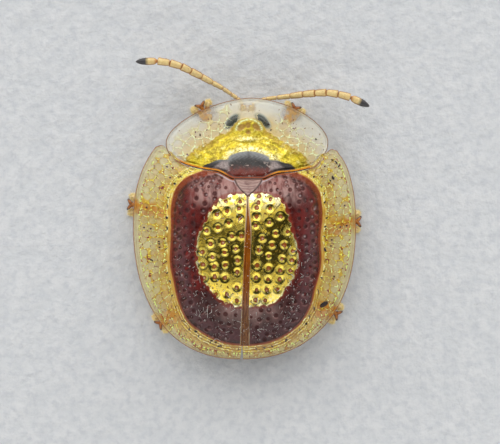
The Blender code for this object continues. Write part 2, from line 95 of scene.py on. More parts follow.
# how the margin of the raised disc wanders from a plain oval: angle from the side, and share
discWander = {
    1: smoothTable(((-90, 1.0), (-52, 1.01), (-40, 1.033), (-32, 1.026), (-22, 1.012), (-12, 0.992),
                    (0, 0.991), (11, 1.008), (20, 1.006), (30, 0.988), (40, 1.003), (50, 1.012), (56, 1.02),
                    (62, 0.998), (70, 0.987), (80, 0.992), (90, 1.0))),
    -1: smoothTable(((-90, 1.0), (-50, 1.0), (-41, 1.026), (-34, 1.04), (-25, 1.028), (-15, 1.02),
                     (-7, 0.998), (0, 0.996), (7, 1.01), (15, 1.026), (24, 1.021), (34, 1.007), (43, 1.035),
                     (54, 1.042), (60, 1.034), (66, 1.022), (76, 1.01), (90, 1.0))),
}


def discFit(x, y):
    aim = np.degrees(np.arctan2(y - beetle["discY"], np.abs(x)))
    angles = np.arange(-90.0, 91.0)
    onLeft, onRight = (np.interp(aim, angles, discWander[side]) for side in (1, -1))
    return np.where(x > 0, onLeft, onRight)


def discOval(x, y):
    rear = y > beetle["discY"]
    reach = np.where(rear, beetle["discRear"], beetle["discFront"])
    power = np.where(rear, beetle["discRearPower"], beetle["discFrontPower"])
    return roundedLength(x / beetle["discHalf"], (y - beetle["discY"]) / reach, power)


def discGauge(x, y):
    plain = discOval(x, y)
    return plain / (1.0 + (discFit(x, y) - 1.0) * softStep(0.55, 0.95, plain))


def crownHeight(x, y):
    back = 1.0 - discGauge(x, y) ** beetle["profile"]
    fromCrown = np.clip(beetle["discY"] - y, 0.0, None)
    r = roundedLength(x / beetle["discHalf"], fromCrown / beetle["crownFront"], beetle["discFrontPower"])
    power = beetle["profile"] + (
        (beetle["baseProfile"] - beetle["profile"]) * softStep(0.0, 2.6, beetle["discY"] - y))
    return beetle["rimZ"] + beetle["rise"] * np.where(y > beetle["discY"], back, 1.0 - r ** power)


def brimShare(x, y):
    # 0 at the disc's rim and 1 at the outer edge, the height at that rim, and the brim's width
    r = np.maximum(discGauge(x, y), 1.0)
    rimX = x / r
    rimY = beetle["discY"] + (y - beetle["discY"]) / r
    inner = brimGauge(rimX, rimY)
    t = (brimGauge(x, y) - inner) / np.maximum(1.0 - inner, 0.02)
    width = np.hypot(rimX, rimY - beetle["brimY"]) * (1.0 / inner - 1.0)
    return np.clip(t, 0.0, 1.0), crownHeight(rimX, rimY), width


def shellHeight(x, y):
    t, rimZ, _ = brimShare(x, y)
    brim = rimZ + (beetle["brimEdgeZ"] - rimZ) * (1.6 * t - 0.6 * t * t)
    return np.where(discGauge(x, y) <= 1.0, crownHeight(x, y), brim)


def shieldRearY(x):
    wide = np.abs(x)
    lobe = beetle["shieldLobe"] * (1.0 - softStep(0.62, 1.5, wide))
    sag = (0.11 - 0.03 * x) * softStep(0.8, 1.5, wide) * softStep(3.6, 3.0, wide)
    return beetle["shieldY"] + beetle["shieldRear"] * arch(x / beetle["shieldHalf"], 2.6) + lobe + sag


def shieldFrontY(x):
    return beetle["shieldY"] - beetle["shieldFront"] * arch(x / beetle["shieldHalf"], 1.65)


def shieldHeight(x, y):
    ahead = softStep(2.2, 5.0, -y)
    edge = 1.35 + 0.5 * ahead * (1.0 - np.minimum(1.0, (np.abs(x) / beetle["shieldHalf"]) ** 2))
    half, middle, length, rise = beetle["shieldDome"]
    return edge + rise * bell(x, half) * bell(y - middle, length)


# mesh helpers

def srgb(r, g, b):
    def one(c):
        c = c / 255.0
        return c / 12.92 if c <= 0.04045 else ((c + 0.055) / 1.055) ** 2.4
    return (one(r), one(g), one(b), 1.0)


def linked(name, data):
    made = bpy.data.objects.new(name, data)
    bpy.context.scene.collection.objects.link(made)
    return made


def addPiece(name, mesh, finishes=(), smoothShade=True):
    mesh.name = name
    mesh.materials.clear()
    for finish in finishes:
        mesh.materials.append(finish)
    mesh.polygons.foreach_set("use_smooth", [smoothShade] * len(mesh.polygons))
    return linked(name, mesh)


def setValues(mesh, values):
    for key, numbers in values.items():
        layer = mesh.attributes.new(key, "FLOAT", "POINT")
        layer.data.foreach_set("value", np.asarray(numbers, np.float32))


def setMap(mesh, name, places):
    # a UV map from one place for each point
    loops = np.zeros(len(mesh.loops), np.int32)
    mesh.loops.foreach_get("vertex_index", loops)
    mesh.uv_layers.new(name=name).data.foreach_set("uv", np.asarray(places, np.float32)[loops].ravel())


def pointsOf(piece):
    # the points of a piece, in millimetres
    spots = np.zeros(3 * len(piece.data.vertices), np.float32)
    piece.data.vertices.foreach_get("co", spots)
    return spots.reshape(-1, 3) / mm


def steepness(piece):
    # how far each point's surface faces up or down, from 0 to 1
    normals = np.zeros(3 * len(piece.data.vertices), np.float32)
    piece.data.vertex_normals.foreach_get("vector", normals)
    return np.abs(normals[2::3])


def evaluatedMesh(holder):
    # the plain mesh that an object's modifiers make of it
    bpy.context.view_layer.update()
    mesh = bpy.data.meshes.new_from_object(holder.evaluated_get(bpy.context.evaluated_depsgraph_get()))
    bpy.data.objects.remove(holder, do_unlink=True)
    return mesh


def meshPiece(name, points, faces, values=None, flow=None, smoothShade=True, finishes=()):
    # points in millimetres; values is a dictionary of one float for each point
    mesh = bpy.data.meshes.new(name)
    mesh.from_pydata([tuple(p) for p in np.asarray(points, float) * mm], [], faces)
    setValues(mesh, values or {})
    if flow is not None:
        setMap(mesh, "flow", flow)
    mesh.update()
    return addPiece(name, mesh, finishes, smoothShade)


def turnOutward(piece):
    work = bmesh.new()
    work.from_mesh(piece.data)
    bmesh.ops.recalc_face_normals(work, faces=work.faces)
    if work.calc_volume(signed=True) < 0.0:
        bmesh.ops.reverse_faces(work, faces=work.faces)
    work.to_mesh(piece.data)
    work.free()


def joinShapes(shapes):
    out = bmesh.new()
    for shape in shapes:
        temp = bpy.data.meshes.new("temp")
        shape.to_mesh(temp)
        shape.free()
        out.from_mesh(temp)
        bpy.data.meshes.remove(temp)
    mesh = bpy.data.meshes.new("joined")
    out.to_mesh(mesh)
    out.free()
    return mesh


def mergePiece(name, shapes, material):
    # joins millimetre bmeshes into one metre-sized piece
    mesh = joinShapes(shapes)
    mesh.transform(Matrix.Scale(mm, 4))
    return addPiece(name, mesh, (material,))


def ballShape(centre, half, turn=None, across=32, around=20):
    shape = bmesh.new()
    bmesh.ops.create_uvsphere(shape, u_segments=across, v_segments=around, radius=1.0)
    bmesh.ops.scale(shape, vec=half, verts=shape.verts)
    if turn is not None:
        bmesh.ops.transform(shape, matrix=turn.to_4x4(), verts=shape.verts)
    bmesh.ops.translate(shape, vec=centre, verts=shape.verts)
    return shape


def tubeShape(path, radii, sides=20, flat=1.0):
    shape = bmesh.new()
    rings = []
    points = [Vector(p) for p in path]
    for i, p in enumerate(points):
        ahead = (points[min(i + 1, len(points) - 1)] - points[max(i - 1, 0)]).normalized()
        across = ahead.cross(Vector((0, 0, 1))).normalized()
        up = across.cross(ahead).normalized()
        turns = [2 * math.pi * k / sides for k in range(sides)]
        rings.append([shape.verts.new(p + (across * math.cos(a) + up * math.sin(a) * flat) * radii[i])
                      for a in turns])
    for low, high in zip(rings, rings[1:]):
        for k in range(sides):
            j = (k + 1) % sides
            shape.faces.new((low[k], low[j], high[j], high[k]))
    shape.faces.new(rings[0][::-1])
    shape.faces.new(rings[-1])
    bmesh.ops.recalc_face_normals(shape, faces=shape.faces)
    return shape


def smoothPath(points, steps):
    # a soft curve through a few points, and how far along it each new point is
    pts = np.asarray(points, float)
    padded = np.vstack([2 * pts[0] - pts[1], pts, 2 * pts[-1] - pts[-2]])
    out = []
    for i in range(len(pts) - 1):
        a, b, c, d = padded[i:i + 4]
        for k in range(steps):
            t = k / steps
            out.append(0.5 * ((2 * b) + (c - a) * t + (2 * a - 5 * b + 4 * c - d) * t * t
                              + (3 * b - a - 3 * c + d) * t ** 3))
    out.append(pts[-1])
    return np.array(out), np.linspace(0.0, 1.0, len(out))


def fusePiece(name, shapes, voxel, soften, material):
    # melts overlapping shapes into one skin
    raw = linked(name + "Raw", joinShapes(shapes))
    melt = raw.modifiers.new("melt", "REMESH")
    melt.mode, melt.voxel_size, melt.use_smooth_shade = "VOXEL", voxel, True
    relax = raw.modifiers.new("relax", "SMOOTH")
    relax.factor, relax.iterations = 0.5, soften
    mesh = evaluatedMesh(raw)
    mesh.transform(Matrix.Scale(mm, 4))
    return addPiece(name, mesh, (material,))


# shader helpers

class NodeMaker:
    # short words for building a node tree
    def __init__(self, tree):
        self.tree = tree

    def put(self, socket, value):
        if isinstance(value, bpy.types.NodeSocket):
            self.tree.links.new(value, socket)
        elif value is not None:
            socket.default_value = value

    def node(self, kind, inputs=(), **settings):
        # inputs go by the order of the sockets, or in a dictionary by their names or numbers
        made = self.tree.nodes.new(kind if "Node" in kind else "ShaderNode" + kind)
        for key, value in settings.items():
            setattr(made, key, value)
        for key, value in inputs.items() if isinstance(inputs, dict) else enumerate(inputs):
            self.put(made.inputs[key], value)
        return made

    def math(self, operation, *values, clamp=False):
        return self.node("Math", values, operation=operation, use_clamp=clamp).outputs[0]

    def times(self, *values):
        return functools.reduce(lambda a, b: self.math("MULTIPLY", a, b), values)

    def plus(self, *values):
        return functools.reduce(lambda a, b: self.math("ADD", a, b), values)

    def most(self, *values):
        return functools.reduce(lambda a, b: self.math("MAXIMUM", a, b), values)

    def rest(self, value):
        return self.math("SUBTRACT", 1.0, value)

    def ramp(self, value, low, high, toLow=0.0, toHigh=1.0, soft=True):
        inputs = {"Value": value, "From Min": low, "From Max": high, "To Min": toLow, "To Max": toHigh}
        kind = "SMOOTHSTEP" if soft else "LINEAR"
        return self.node("MapRange", inputs, interpolation_type=kind).outputs["Result"]

    def fall(self, value, low, high):
        return self.ramp(value, low, high, 1.0, 0.0)

    def band(self, value, a, b, c, d):
        # rises from a to b, falls from c to d
        return self.times(self.ramp(value, a, b), self.fall(value, c, d))

    def mix(self, share, a, b, way="MIX"):
        return self.node("Mix", {0: share, 6: a, 7: b}, data_type="RGBA", blend_type=way).outputs[2]

    def paint(self, colour, layers):
        # lays tones over a colour, each as far as its mask says
        for mask, tone in layers:
            colour = self.mix(mask, colour, tone)
        return colour

    def blend(self, share, a, b):
        return self.node("Mix", {0: share, 2: a, 3: b}, data_type="FLOAT").outputs[0]

    def split(self, vector):
        return self.node("SeparateXYZ", (vector,)).outputs


def newGroup(name, kind, inputs, outputs):
    # an empty node group with its maker, what it is given and what it puts out
    tree = bpy.data.node_groups.new(name, kind)
    for label, socketKind, value in inputs:
        socket = tree.interface.new_socket(label, in_out="INPUT", socket_type="NodeSocket" + socketKind)
        if value is not None:
            socket.default_value = value
    for label, socketKind in outputs:
        tree.interface.new_socket(label, in_out="OUTPUT", socket_type="NodeSocket" + socketKind)
    return NodeMaker(tree), tree.nodes.new("NodeGroupInput").outputs, tree.nodes.new("NodeGroupOutput").inputs


class Shader(NodeMaker):
    # a material whose nodes end in its Principled shader
    def __init__(self, name):
        self.material = bpy.data.materials.new(name)
        self.material.use_nodes = True
        super().__init__(self.material.node_tree)
        self.bsdf = self.tree.nodes["Principled BSDF"]
        self.place = self.node("TexCoord").outputs["Object"]

    def attr(self, name):
        return self.node("Attribute", attribute_name=name).outputs["Fac"]

    def flow(self):
        return self.node("UVMap", uv_map="flow").outputs["UV"]

    def stretched(self, vector, scale):
        return self.node("Mapping", {"Vector": vector, "Scale": scale}).outputs["Vector"]

    def noise(self, size, detail=3.0, rough=0.55, stretch=None, vector=None):
        # size is the width of one blotch in millimetres, or in the vector's own units
        scale = 1.0 / (size * mm) if vector is None else 1.0 / size
        vector = vector or self.place
        if stretch is not None:
            vector = self.stretched(vector, stretch)
        inputs = {"Vector": vector, "Scale": scale, "Detail": detail, "Roughness": rough}
        return self.node("TexNoise", inputs).outputs["Fac"]

    def net(self, vector, **sizes):
        made = self.node("Group", {"Vector": vector, **sizes}, node_tree=cellNet)
        return [made.outputs[key] for key in ("Wall", "Thin", "Core", "Chance", "Glint")]

    def grimed(self, colour, dust, stain, grain):
        inputs = {"Colour": colour, "Dust": dust, "Stain": stain, "Grain": grain}
        return self.node("Group", inputs, node_tree=grime).outputs["Colour"]

    def bump(self, height, depth, strength=1.0, after=None):
        inputs = {"Strength": strength, "Distance": depth * mm, "Height": height, "Normal": after}
        return self.node("Bump", inputs).outputs["Normal"]

    def finish(self, colour, rough, metal=None, alpha=None, normal=None, coat=0.0, shine=0.5, glimmer=None):
        for key, value in (("Base Color", colour), ("Roughness", rough), ("Metallic", metal),
                           ("Alpha", alpha), ("Normal", normal), ("Coat Weight", coat),
                           ("Coat Roughness", 0.05), ("Specular IOR Level", shine),
                           ("Emission Color", glimmer)):
            self.put(self.bsdf.inputs[key], value)
        if glimmer is not None:
            self.bsdf.inputs["Emission Strength"].default_value = 1.0
        return self.material


def grimeGroup():
    # fine pale dust and darker stains, shared by every shell and limb
    make, given, out = newGroup("fineGrime", "ShaderNodeTree",
                                (("Colour", "Color", (0.5, 0.5, 0.5, 1.0)), ("Dust", "Float", 0.2),
                                 ("Stain", "Float", 0.2), ("Grain", "Float", 0.04)), (("Colour", "Color"),))
    place = make.node("TexCoord").outputs["Object"]
    scale = make.math("DIVIDE", 1000.0, given["Grain"])
    fine = make.node("TexNoise", {"Vector": place, "Scale": scale, "Detail": 4.0})
    broad = make.node("TexNoise", {"Vector": place, "Scale": 1600.0, "Detail": 3.0})
    dust = make.times(make.ramp(fine.outputs["Fac"], 0.6, 0.76, soft=False), given["Dust"])
    stain = make.times(make.ramp(broad.outputs["Fac"], 0.5, 0.72, soft=False), given["Stain"])
    darker = make.mix(stain, given["Colour"], (0.35, 0.3, 0.28, 1.0), "MULTIPLY")
    make.put(out["Colour"], make.mix(dust, darker, (0.62, 0.58, 0.54, 1.0)))
    return make.tree


grime = grimeGroup()


# camera, floor and lights

studio = {
    "camera": (-0.252, 0.605, 300.0), "frameWidth": 22.9, "frameHeight": 1.5,
    "floor": srgb(223, 226, 230), "floorGrain": 0.9, "floorFibre": 0.35,
    "floorSize": 900.0, "floorZ": -0.012,
    # softboxes, each as (middle, width, length, watts for each square metre)
    "lights": {"keyBox": ((10.0, -150.0, 150.0), 120.0, 60.0, 2.4),
               "backBox": ((0.0, 160.0, 110.0), 120.0, 50.0, 1.2)},
    # brightness of the soft tent round the table: tilt from straight up towards the tail, in degrees
    "tent": ((-90, 1.3), (-76, 1.9), (-60, 2.5), (-50, 2.2), (-38, 0.95), (-22, 0.85), (-13, 0.78), (-8,
             0.16), (-2, 0.045), (25, 0.045), (34, 0.6), (46, 1.15), (62, 1.5), (78, 0.8), (90, 0.4)),
    "tentTop": 2.5, "slant": 0.16, "sideDim": (0.72, 0.97, 0.55), "tint": (1.0, 0.995, 0.975, 1.0),
    "skyPale": (0.6, 0.61, 0.62, 1.0),
}


def makeCamera():
    x, y, z = studio["camera"]
    data = bpy.data.cameras.new("lookDown")
    data.lens = data.sensor_width * (z - studio["frameHeight"]) / studio["frameWidth"]
    data.clip_start, data.clip_end = 0.01, 5.0
    camera = linked("lookDown", data)
    camera.location = (x * mm, y * mm, z * mm)
    camera.rotation_euler = (0.0, 0.0, math.pi)
    bpy.context.scene.camera = camera


def makeLights():
    for name, (place, wide, long, power) in studio["lights"].items():
        data = bpy.data.lights.new(name, "AREA")
        data.shape = "RECTANGLE"
        data.size, data.size_y = wide * mm, long * mm
        data.energy = power * wide * long * mm * mm
        lamp = linked(name, data)
        lamp.location = Vector(place) * mm
        lamp.rotation_euler = (-Vector(place)).to_track_quat("-Z", "Y").to_euler()
        lamp.visible_camera = lamp.visible_glossy = False


def makeSky():
    # a tent of soft light whose brightness changes smoothly from head to tail
    world = bpy.data.worlds.new("studioTent")
    world.use_nodes = True
    make, nodes = NodeMaker(world.node_tree), world.node_tree.nodes
    way = make.split(make.node("TexCoord").outputs["Generated"])
    tilt = make.math("ARCTAN2", way["Y"], way["Z"])
    slant = make.ramp(tilt, 0.1, 0.55, studio["slant"], 0.0, soft=False)
    tilt = make.math("SUBTRACT", tilt, make.times(way["X"], slant))
    share = make.math("MULTIPLY_ADD", tilt, 1.0 / math.pi, 0.5)
    ramp = make.node("ValToRGB", {"Fac": share})
    ramp.color_ramp.interpolation = "EASE"
    stops = ramp.color_ramp.elements
    while len(stops) < len(studio["tent"]):
        stops.new(0.5)
    for stop, (degrees, level) in zip(stops, studio["tent"]):
        grey = level / studio["tentTop"]
        stop.position, stop.color = degrees / 180.0 + 0.5, (grey, grey, grey, 1.0)
    low, high, least = studio["sideDim"]
    dim = make.ramp(make.math("ABSOLUTE", way["X"]), low, high, 1.0, least)
    tent = nodes["Background"]
    make.put(tent.inputs["Color"], studio["tint"])
    make.put(tent.inputs["Strength"], make.times(ramp.outputs["Color"], dim, studio["tentTop"]))
    pale = make.node("Background", {"Color": studio["skyPale"]})
    seen = make.node("LightPath").outputs["Is Camera Ray"]
    pick = make.node("MixShader", (seen, tent.outputs[0], pale.outputs[0]))
    make.put(nodes["World Output"].inputs["Surface"], pick.outputs[0])
    bpy.context.scene.world = world


def makeFloor():
    # a sheet of pale paper, a hair below the feet
    half, z = studio["floorSize"] / 2.0, studio["floorZ"]
    corners = [(-half, -half, z), (half, -half, z), (half, half, z), (-half, half, z)]
    paper = Shader("palePaper")
    broad = paper.noise(studio["floorGrain"], 5.0, 0.62)
    fibre = paper.noise(studio["floorFibre"], 3.0, 0.6)
    tone = paper.mix(paper.ramp(broad, 0.35, 0.65), studio["floor"], srgb(231, 233, 236))
    tone = paper.mix(paper.ramp(fibre, 0.4, 0.75, 0.0, 0.7), tone, srgb(206, 210, 217))
    normal = paper.bump(broad, 0.16, 0.7)
    normal = paper.bump(fibre, 0.05, 0.7, normal)
    finish = paper.finish(tone, 0.85, normal=normal)
    floor = meshPiece("paperFloor", corners, [(0, 1, 2, 3)], smoothShade=False, finishes=(finish,))


bpy.context.scene.view_settings.view_transform = "Standard"
makeCamera()
makeLights()
makeSky()
makeFloor()
print("studio ready")


# wing covers

elytra = {
    "rays": 420, "discRings": 150, "brimRings": 40, "underRings": 12, "eye": (0.0, 1.5),
    "discThick": 0.16, "brimThick": 0.09, "baseGap": 0.035,
    "bowlRadius": 0.24, "bowlDepth": 0.04, "pitShare": 0.5, "pitDepth": 0.03, "flipY": 1.5,
    "smallRadius": 0.12, "smallDepth": 0.045, "rowStep": 0.4, "biteStep": 0.47, "biteRadius": 0.22,
    "rowOffsets": (0.42, 0.95, 1.46, 1.93, 2.36, 2.72, 3.02, 3.24),
    "sutureHalf": {1: (0.075, 0.1), -1: (0.23, 0.32)}, "notch": 0.06, "tipBack": {1: 0.0, -1: 0.18},
    # where the feet show through the clear brim: two ends, half width and strength
    "feet": (((5.06, -0.13), (3.75, 0.17), 0.3, 0.9), ((-5.15, 0.65), (-4.05, 0.93), 0.32, 0.9),
             ((3.8, 5.15), (3.2, 4.8), 0.3, 0.9), ((-4.19, 4.85), (-3.5, 4.6), 0.38, 0.95)),
    # the gold patch, as (y, reach towards +X, reach towards -X)
    "gold": ((-0.69, 0.45, -0.95), (-0.47, 1.15, -1.66), (0.24, 1.63, -2.01), (1.11, 2.07, -2.23),
             (1.99, 2.2, -2.45), (2.86, 2.11, -2.4), (3.3, 1.85, -2.14), (3.74, 1.54, -1.83),
             (4.14, 1.19, -1.57), (4.41, 0.8, -1.04), (4.47, 0.35, -0.5)),
    "goldColour": (0.86, 0.62, 0.075, 1.0),
    "shoulderTip": ((3.42, -2.56), (3.55, -2.64), (3.66, -2.74), (3.75, -2.84), (3.8, -2.89), (3.87, -2.92),
                    (3.97, -2.91)),
}

# punctures inside the gold patch, row by row from the suture, as places on the finished beetle
goldPits = {
    1: ((0.2, -0.32), (0.23, 0.0), (0.2, 0.45), (0.14, 1.24), (0.39, 1.82), (0.31, 2.35), (0.32, 2.87),
        (0.34, 3.58), (0.35, 4.18), (0.85, -0.34), (0.79, 0.11), (0.71, 0.66), (0.57, 1.25), (0.9, 1.99),
        (0.88, 2.57), (0.89, 3.13), (0.8, 3.89), (0.82, 4.33), (1.32, -0.22), (1.25, 0.26), (1.21, 0.85),
        (0.98, 1.53), (1.46, 2.2), (1.37, 2.62), (1.35, 3.1), (1.31, 3.89), (1.72, 1.0), (1.54, 1.6),
        (1.92, 1.97), (1.89, 2.54), (1.84, 3.14)),
    -1: ((-0.67, -0.58), (-0.63, -0.27), (-0.56, -0.04), (-0.55, 0.35), (-0.51, 0.76), (-0.81, 1.34),
         (-0.66, 1.89), (-0.56, 2.58), (-0.53, 3.13), (-0.55, 3.68), (-0.5, 4.14), (-0.49, 4.49),
         (-1.18, -0.43), (-1.17, 0.0), (-1.13, 0.62), (-1.26, 1.65), (-1.1, 2.15), (-1.1, 2.7),
         (-1.08, 3.21), (-1.02, 3.68), (-0.94, 4.17), (-1.63, 0.35), (-1.42, 1.12), (-1.81, 1.65),
         (-1.71, 2.28), (-1.63, 2.8), (-1.6, 3.21), (-1.5, 3.67), (-1.97, 1.04), (-2.19, 1.93),
         (-2.17, 2.34), (-2.08, 2.81)),
}


def polylineDistance(points, line):
    # shortest distance from each point to a broken line
    best = np.full(len(points), 1e9)
    for a, b in zip(line[:-1], line[1:]):
        ab = b - a
        t = np.clip(((points - a) @ ab) / max(ab @ ab, 1e-12), 0.0, 1.0)
        best = np.minimum(best, np.hypot(*(points - a - t[:, None] * ab).T))
    return best


def evenPoints(line, count):
    step = np.concatenate([[0.0], np.cumsum(np.hypot(*np.diff(line, axis=0).T))])
    at = np.linspace(0.0, step[-1], count)
    return np.column_stack([np.interp(at, step, line[:, 0]), np.interp(at, step, line[:, 1])]), at


def elytronOutline(side):
    t = np.linspace(0.0, 1.0, 24)
    beside = np.column_stack([0.012 + 0.64 * t, -0.57 - 0.8 * t ** 1.2])
    x = np.linspace(0.68, 3.4, 150)
    front = np.column_stack([x, shieldRearY(side * x) + elytra["baseGap"]])
    tip = np.array(elytra["shoulderTip"])
    p = 2.0 / beetle["brimPower"]
    a = np.linspace(-0.8, math.pi / 2.0, 400)
    reach = np.where(a > 0.0, beetle["brimRear"], beetle["brimFront"])
    brim = np.column_stack([beetle["brimHalf"] * np.cos(a) ** p,
                            beetle["brimY"] + reach * np.sign(a) * np.abs(np.sin(a)) ** p])
    brim = brim[brim[:, 1] > -2.86]
    brim[-1, 0] = 0.0
    return np.vstack([beside, front, tip, brim])


def zipStrip(one, two, placeOne, placeTwo):
    # triangles between two lines of points that run the same way
    faces, i, j = [], 0, 0
    while i < len(one) - 1 or j < len(two) - 1:
        if j == len(two) - 1 or (i < len(one) - 1 and placeOne[i + 1] <= placeTwo[j + 1]):
            faces.append((one[i], one[i + 1], two[j]))
            i += 1
        else:
            faces.append((one[i], two[j + 1], two[j]))
            j += 1
    return faces


def rayGrid(outline, rings, side):
    # points on rays from the eye of the grid to the outline; rings holds shares of two stretches
    eye = np.array(elytra["eye"])
    arm = outline - eye
    length = np.hypot(*arm.T)
    way = arm / length[:, None]
    across, behind = way[:, 0], way[:, 1] + beetle["discY"]
    rim = np.minimum(discFit(side * across, behind) / discOval(across, behind), 0.985 * length)
    reach = [share * rim if share <= 1.0 else rim + (share - 1.0) * (length - rim) for share in rings]
    return np.array([eye + way * r[:, None] for r in reach])


def goldOutline():
    rows = np.array(elytra["gold"])
    left, right = rows[:, [1, 0]], rows[::-1, [2, 0]]
    line = np.vstack([left, right, left[:1]])
    return smoothPath(line, 8)[0]


def insideLine(points, line):
    inside = np.zeros(len(points), bool)
    x, y = points.T
    for (ax, ay), (bx, by) in zip(line[:-1], line[1:]):
        inside ^= ((ay > y) != (by > y)) & (x < (bx - ax) * (y - ay) / (by - ay + 1e-12) + ax)
    return inside


def signedDistance(points, line):
    # how far each point is from a closed line, above 0 within it
    return polylineDistance(points, line) * np.where(insideLine(points, line), 1.0, -1.0)


def maroonPits(side, patch):
    # rows of small punctures that leave the gold patch free
    places = []
    for offset in elytra["rowOffsets"]:
        share = offset / beetle["discHalf"]
        y = -2.1 + rng.uniform(0.0, 0.4)
        while y < 6.0:
            y += elytra["rowStep"] * rng.uniform(0.78, 1.16)
            ahead = np.clip((beetle["discY"] - y) / beetle["discFront"], 0.0, 1.0)
            behind = np.clip((y - beetle["discY"]) / beetle["discRear"], 0.0, 1.0)
            power = beetle["discRearPower"] if y > beetle["discY"] else beetle["discFrontPower"]
            width = beetle["discHalf"] * (1.0 - max(ahead, behind) ** power) ** (1.0 / power)
            x = side * (share * width * (1.0 + 0.05 * ahead) + rng.uniform(-0.07, 0.07))
            if abs(x) < 0.3 or y < float(shieldRearY(np.array(x))) + 0.3:
                continue
            if y > -0.5 - 0.9 * max(0.0, abs(x) - 2.6):
                places.append((x + float(leanShift(x, y)), y))
    places = np.vstack([places, basePits[side]["single"]])
    return places[signedDistance(places, patch) < -0.1]


# rows of joined punctures behind the pronotum, as (start, end), and the larger single ones near them
basePits = {
    1: {"rows": (((1.76, -1.6), (2.4, -1.0)), ((1.63, -1.41), (1.94, -1.09)), ((1.31, -1.6), (1.53, -1.18)),
                 ((1.03, -1.41), (1.26, -0.95)), ((2.05, -1.45), (2.18, -1.35))),
        "single": ((1.63, -1.0), (2.18, -0.86), (1.76, -0.63), (1.35, -0.68), (0.85, -0.65), (1.17, -1.0),
                   (0.85, -0.95), (0.39, -0.63), (2.2, -1.26), (2.06, -1.55))},
    -1: {"rows": (((-1.53, -1.69), (-1.4, -1.5)), ((-1.85, -1.41), (-1.95, -1.04)),
                  ((-2.13, -1.5), (-2.5, -0.86)), ((-2.36, -1.59), (-2.68, -0.91)),
                  ((-1.4, -1.14), (-1.49, -0.86))),
         "single": ((-1.63, -0.68), (-2.08, -0.86), (-2.54, -0.59), (-1.21, -0.82), (-1.17, -0.36),
                    (-0.85, -0.77), (-0.62, -0.59), (-2.89, -1.22), (-1.17, -1.18))},
}


def baseGrooves(side):
    places = []
    for (ax, ay), (bx, by) in basePits[side]["rows"]:
        count = max(2, int(math.hypot(bx - ax, by - ay) / 0.11))
        for t in np.linspace(0.0, 1.0, count):
            places.append((ax + (bx - ax) * t + rng.uniform(-0.02, 0.02), ay + (by - ay) * t))
    return np.array(places)


def goldBites(side, patch):
    # punctures of the wine-red ground that bite into the edge of the gold
    count = int(np.hypot(*np.diff(patch, axis=0).T).sum() / elytra["biteStep"])
    line, _ = evenPoints(patch, count + 1)
    middle = patch.mean(axis=0)
    way = line[:-1] - middle
    line = line[:-1] + way / np.hypot(*way.T)[:, None] * 0.09 + rng.uniform(-0.05, 0.05, (count, 2))
    fromMiddle = (line[:, 0] - beetle["axisX"] - beetle["axisSlope"] * line[:, 1]) * side
    return line[fromMiddle > 0.35]


def dent(points, places, radius, depth, lip=0.0, floor=0.35, slant=0.0):
    # round dents whose wall is steeper on the side of the head by slant
    low, near = np.zeros(len(points)), np.zeros(len(points))
    for place, r in zip(places, radius):
        close = np.nonzero(np.abs(points[:, 1] - place[1]) < 2.2 * r)[0]
        off = points[close] - place
        d = np.hypot(*off.T) / r
        bowl = softStep(1.0, floor - slant * off[:, 1] / (d * r + 1e-6), d)
        low[close] -= depth * bowl - lip * bell(d - 1.12, 0.22)
        near[close] = np.maximum(near[close], np.clip(1.0 - d, 0.0, 1.0))
    return low, near


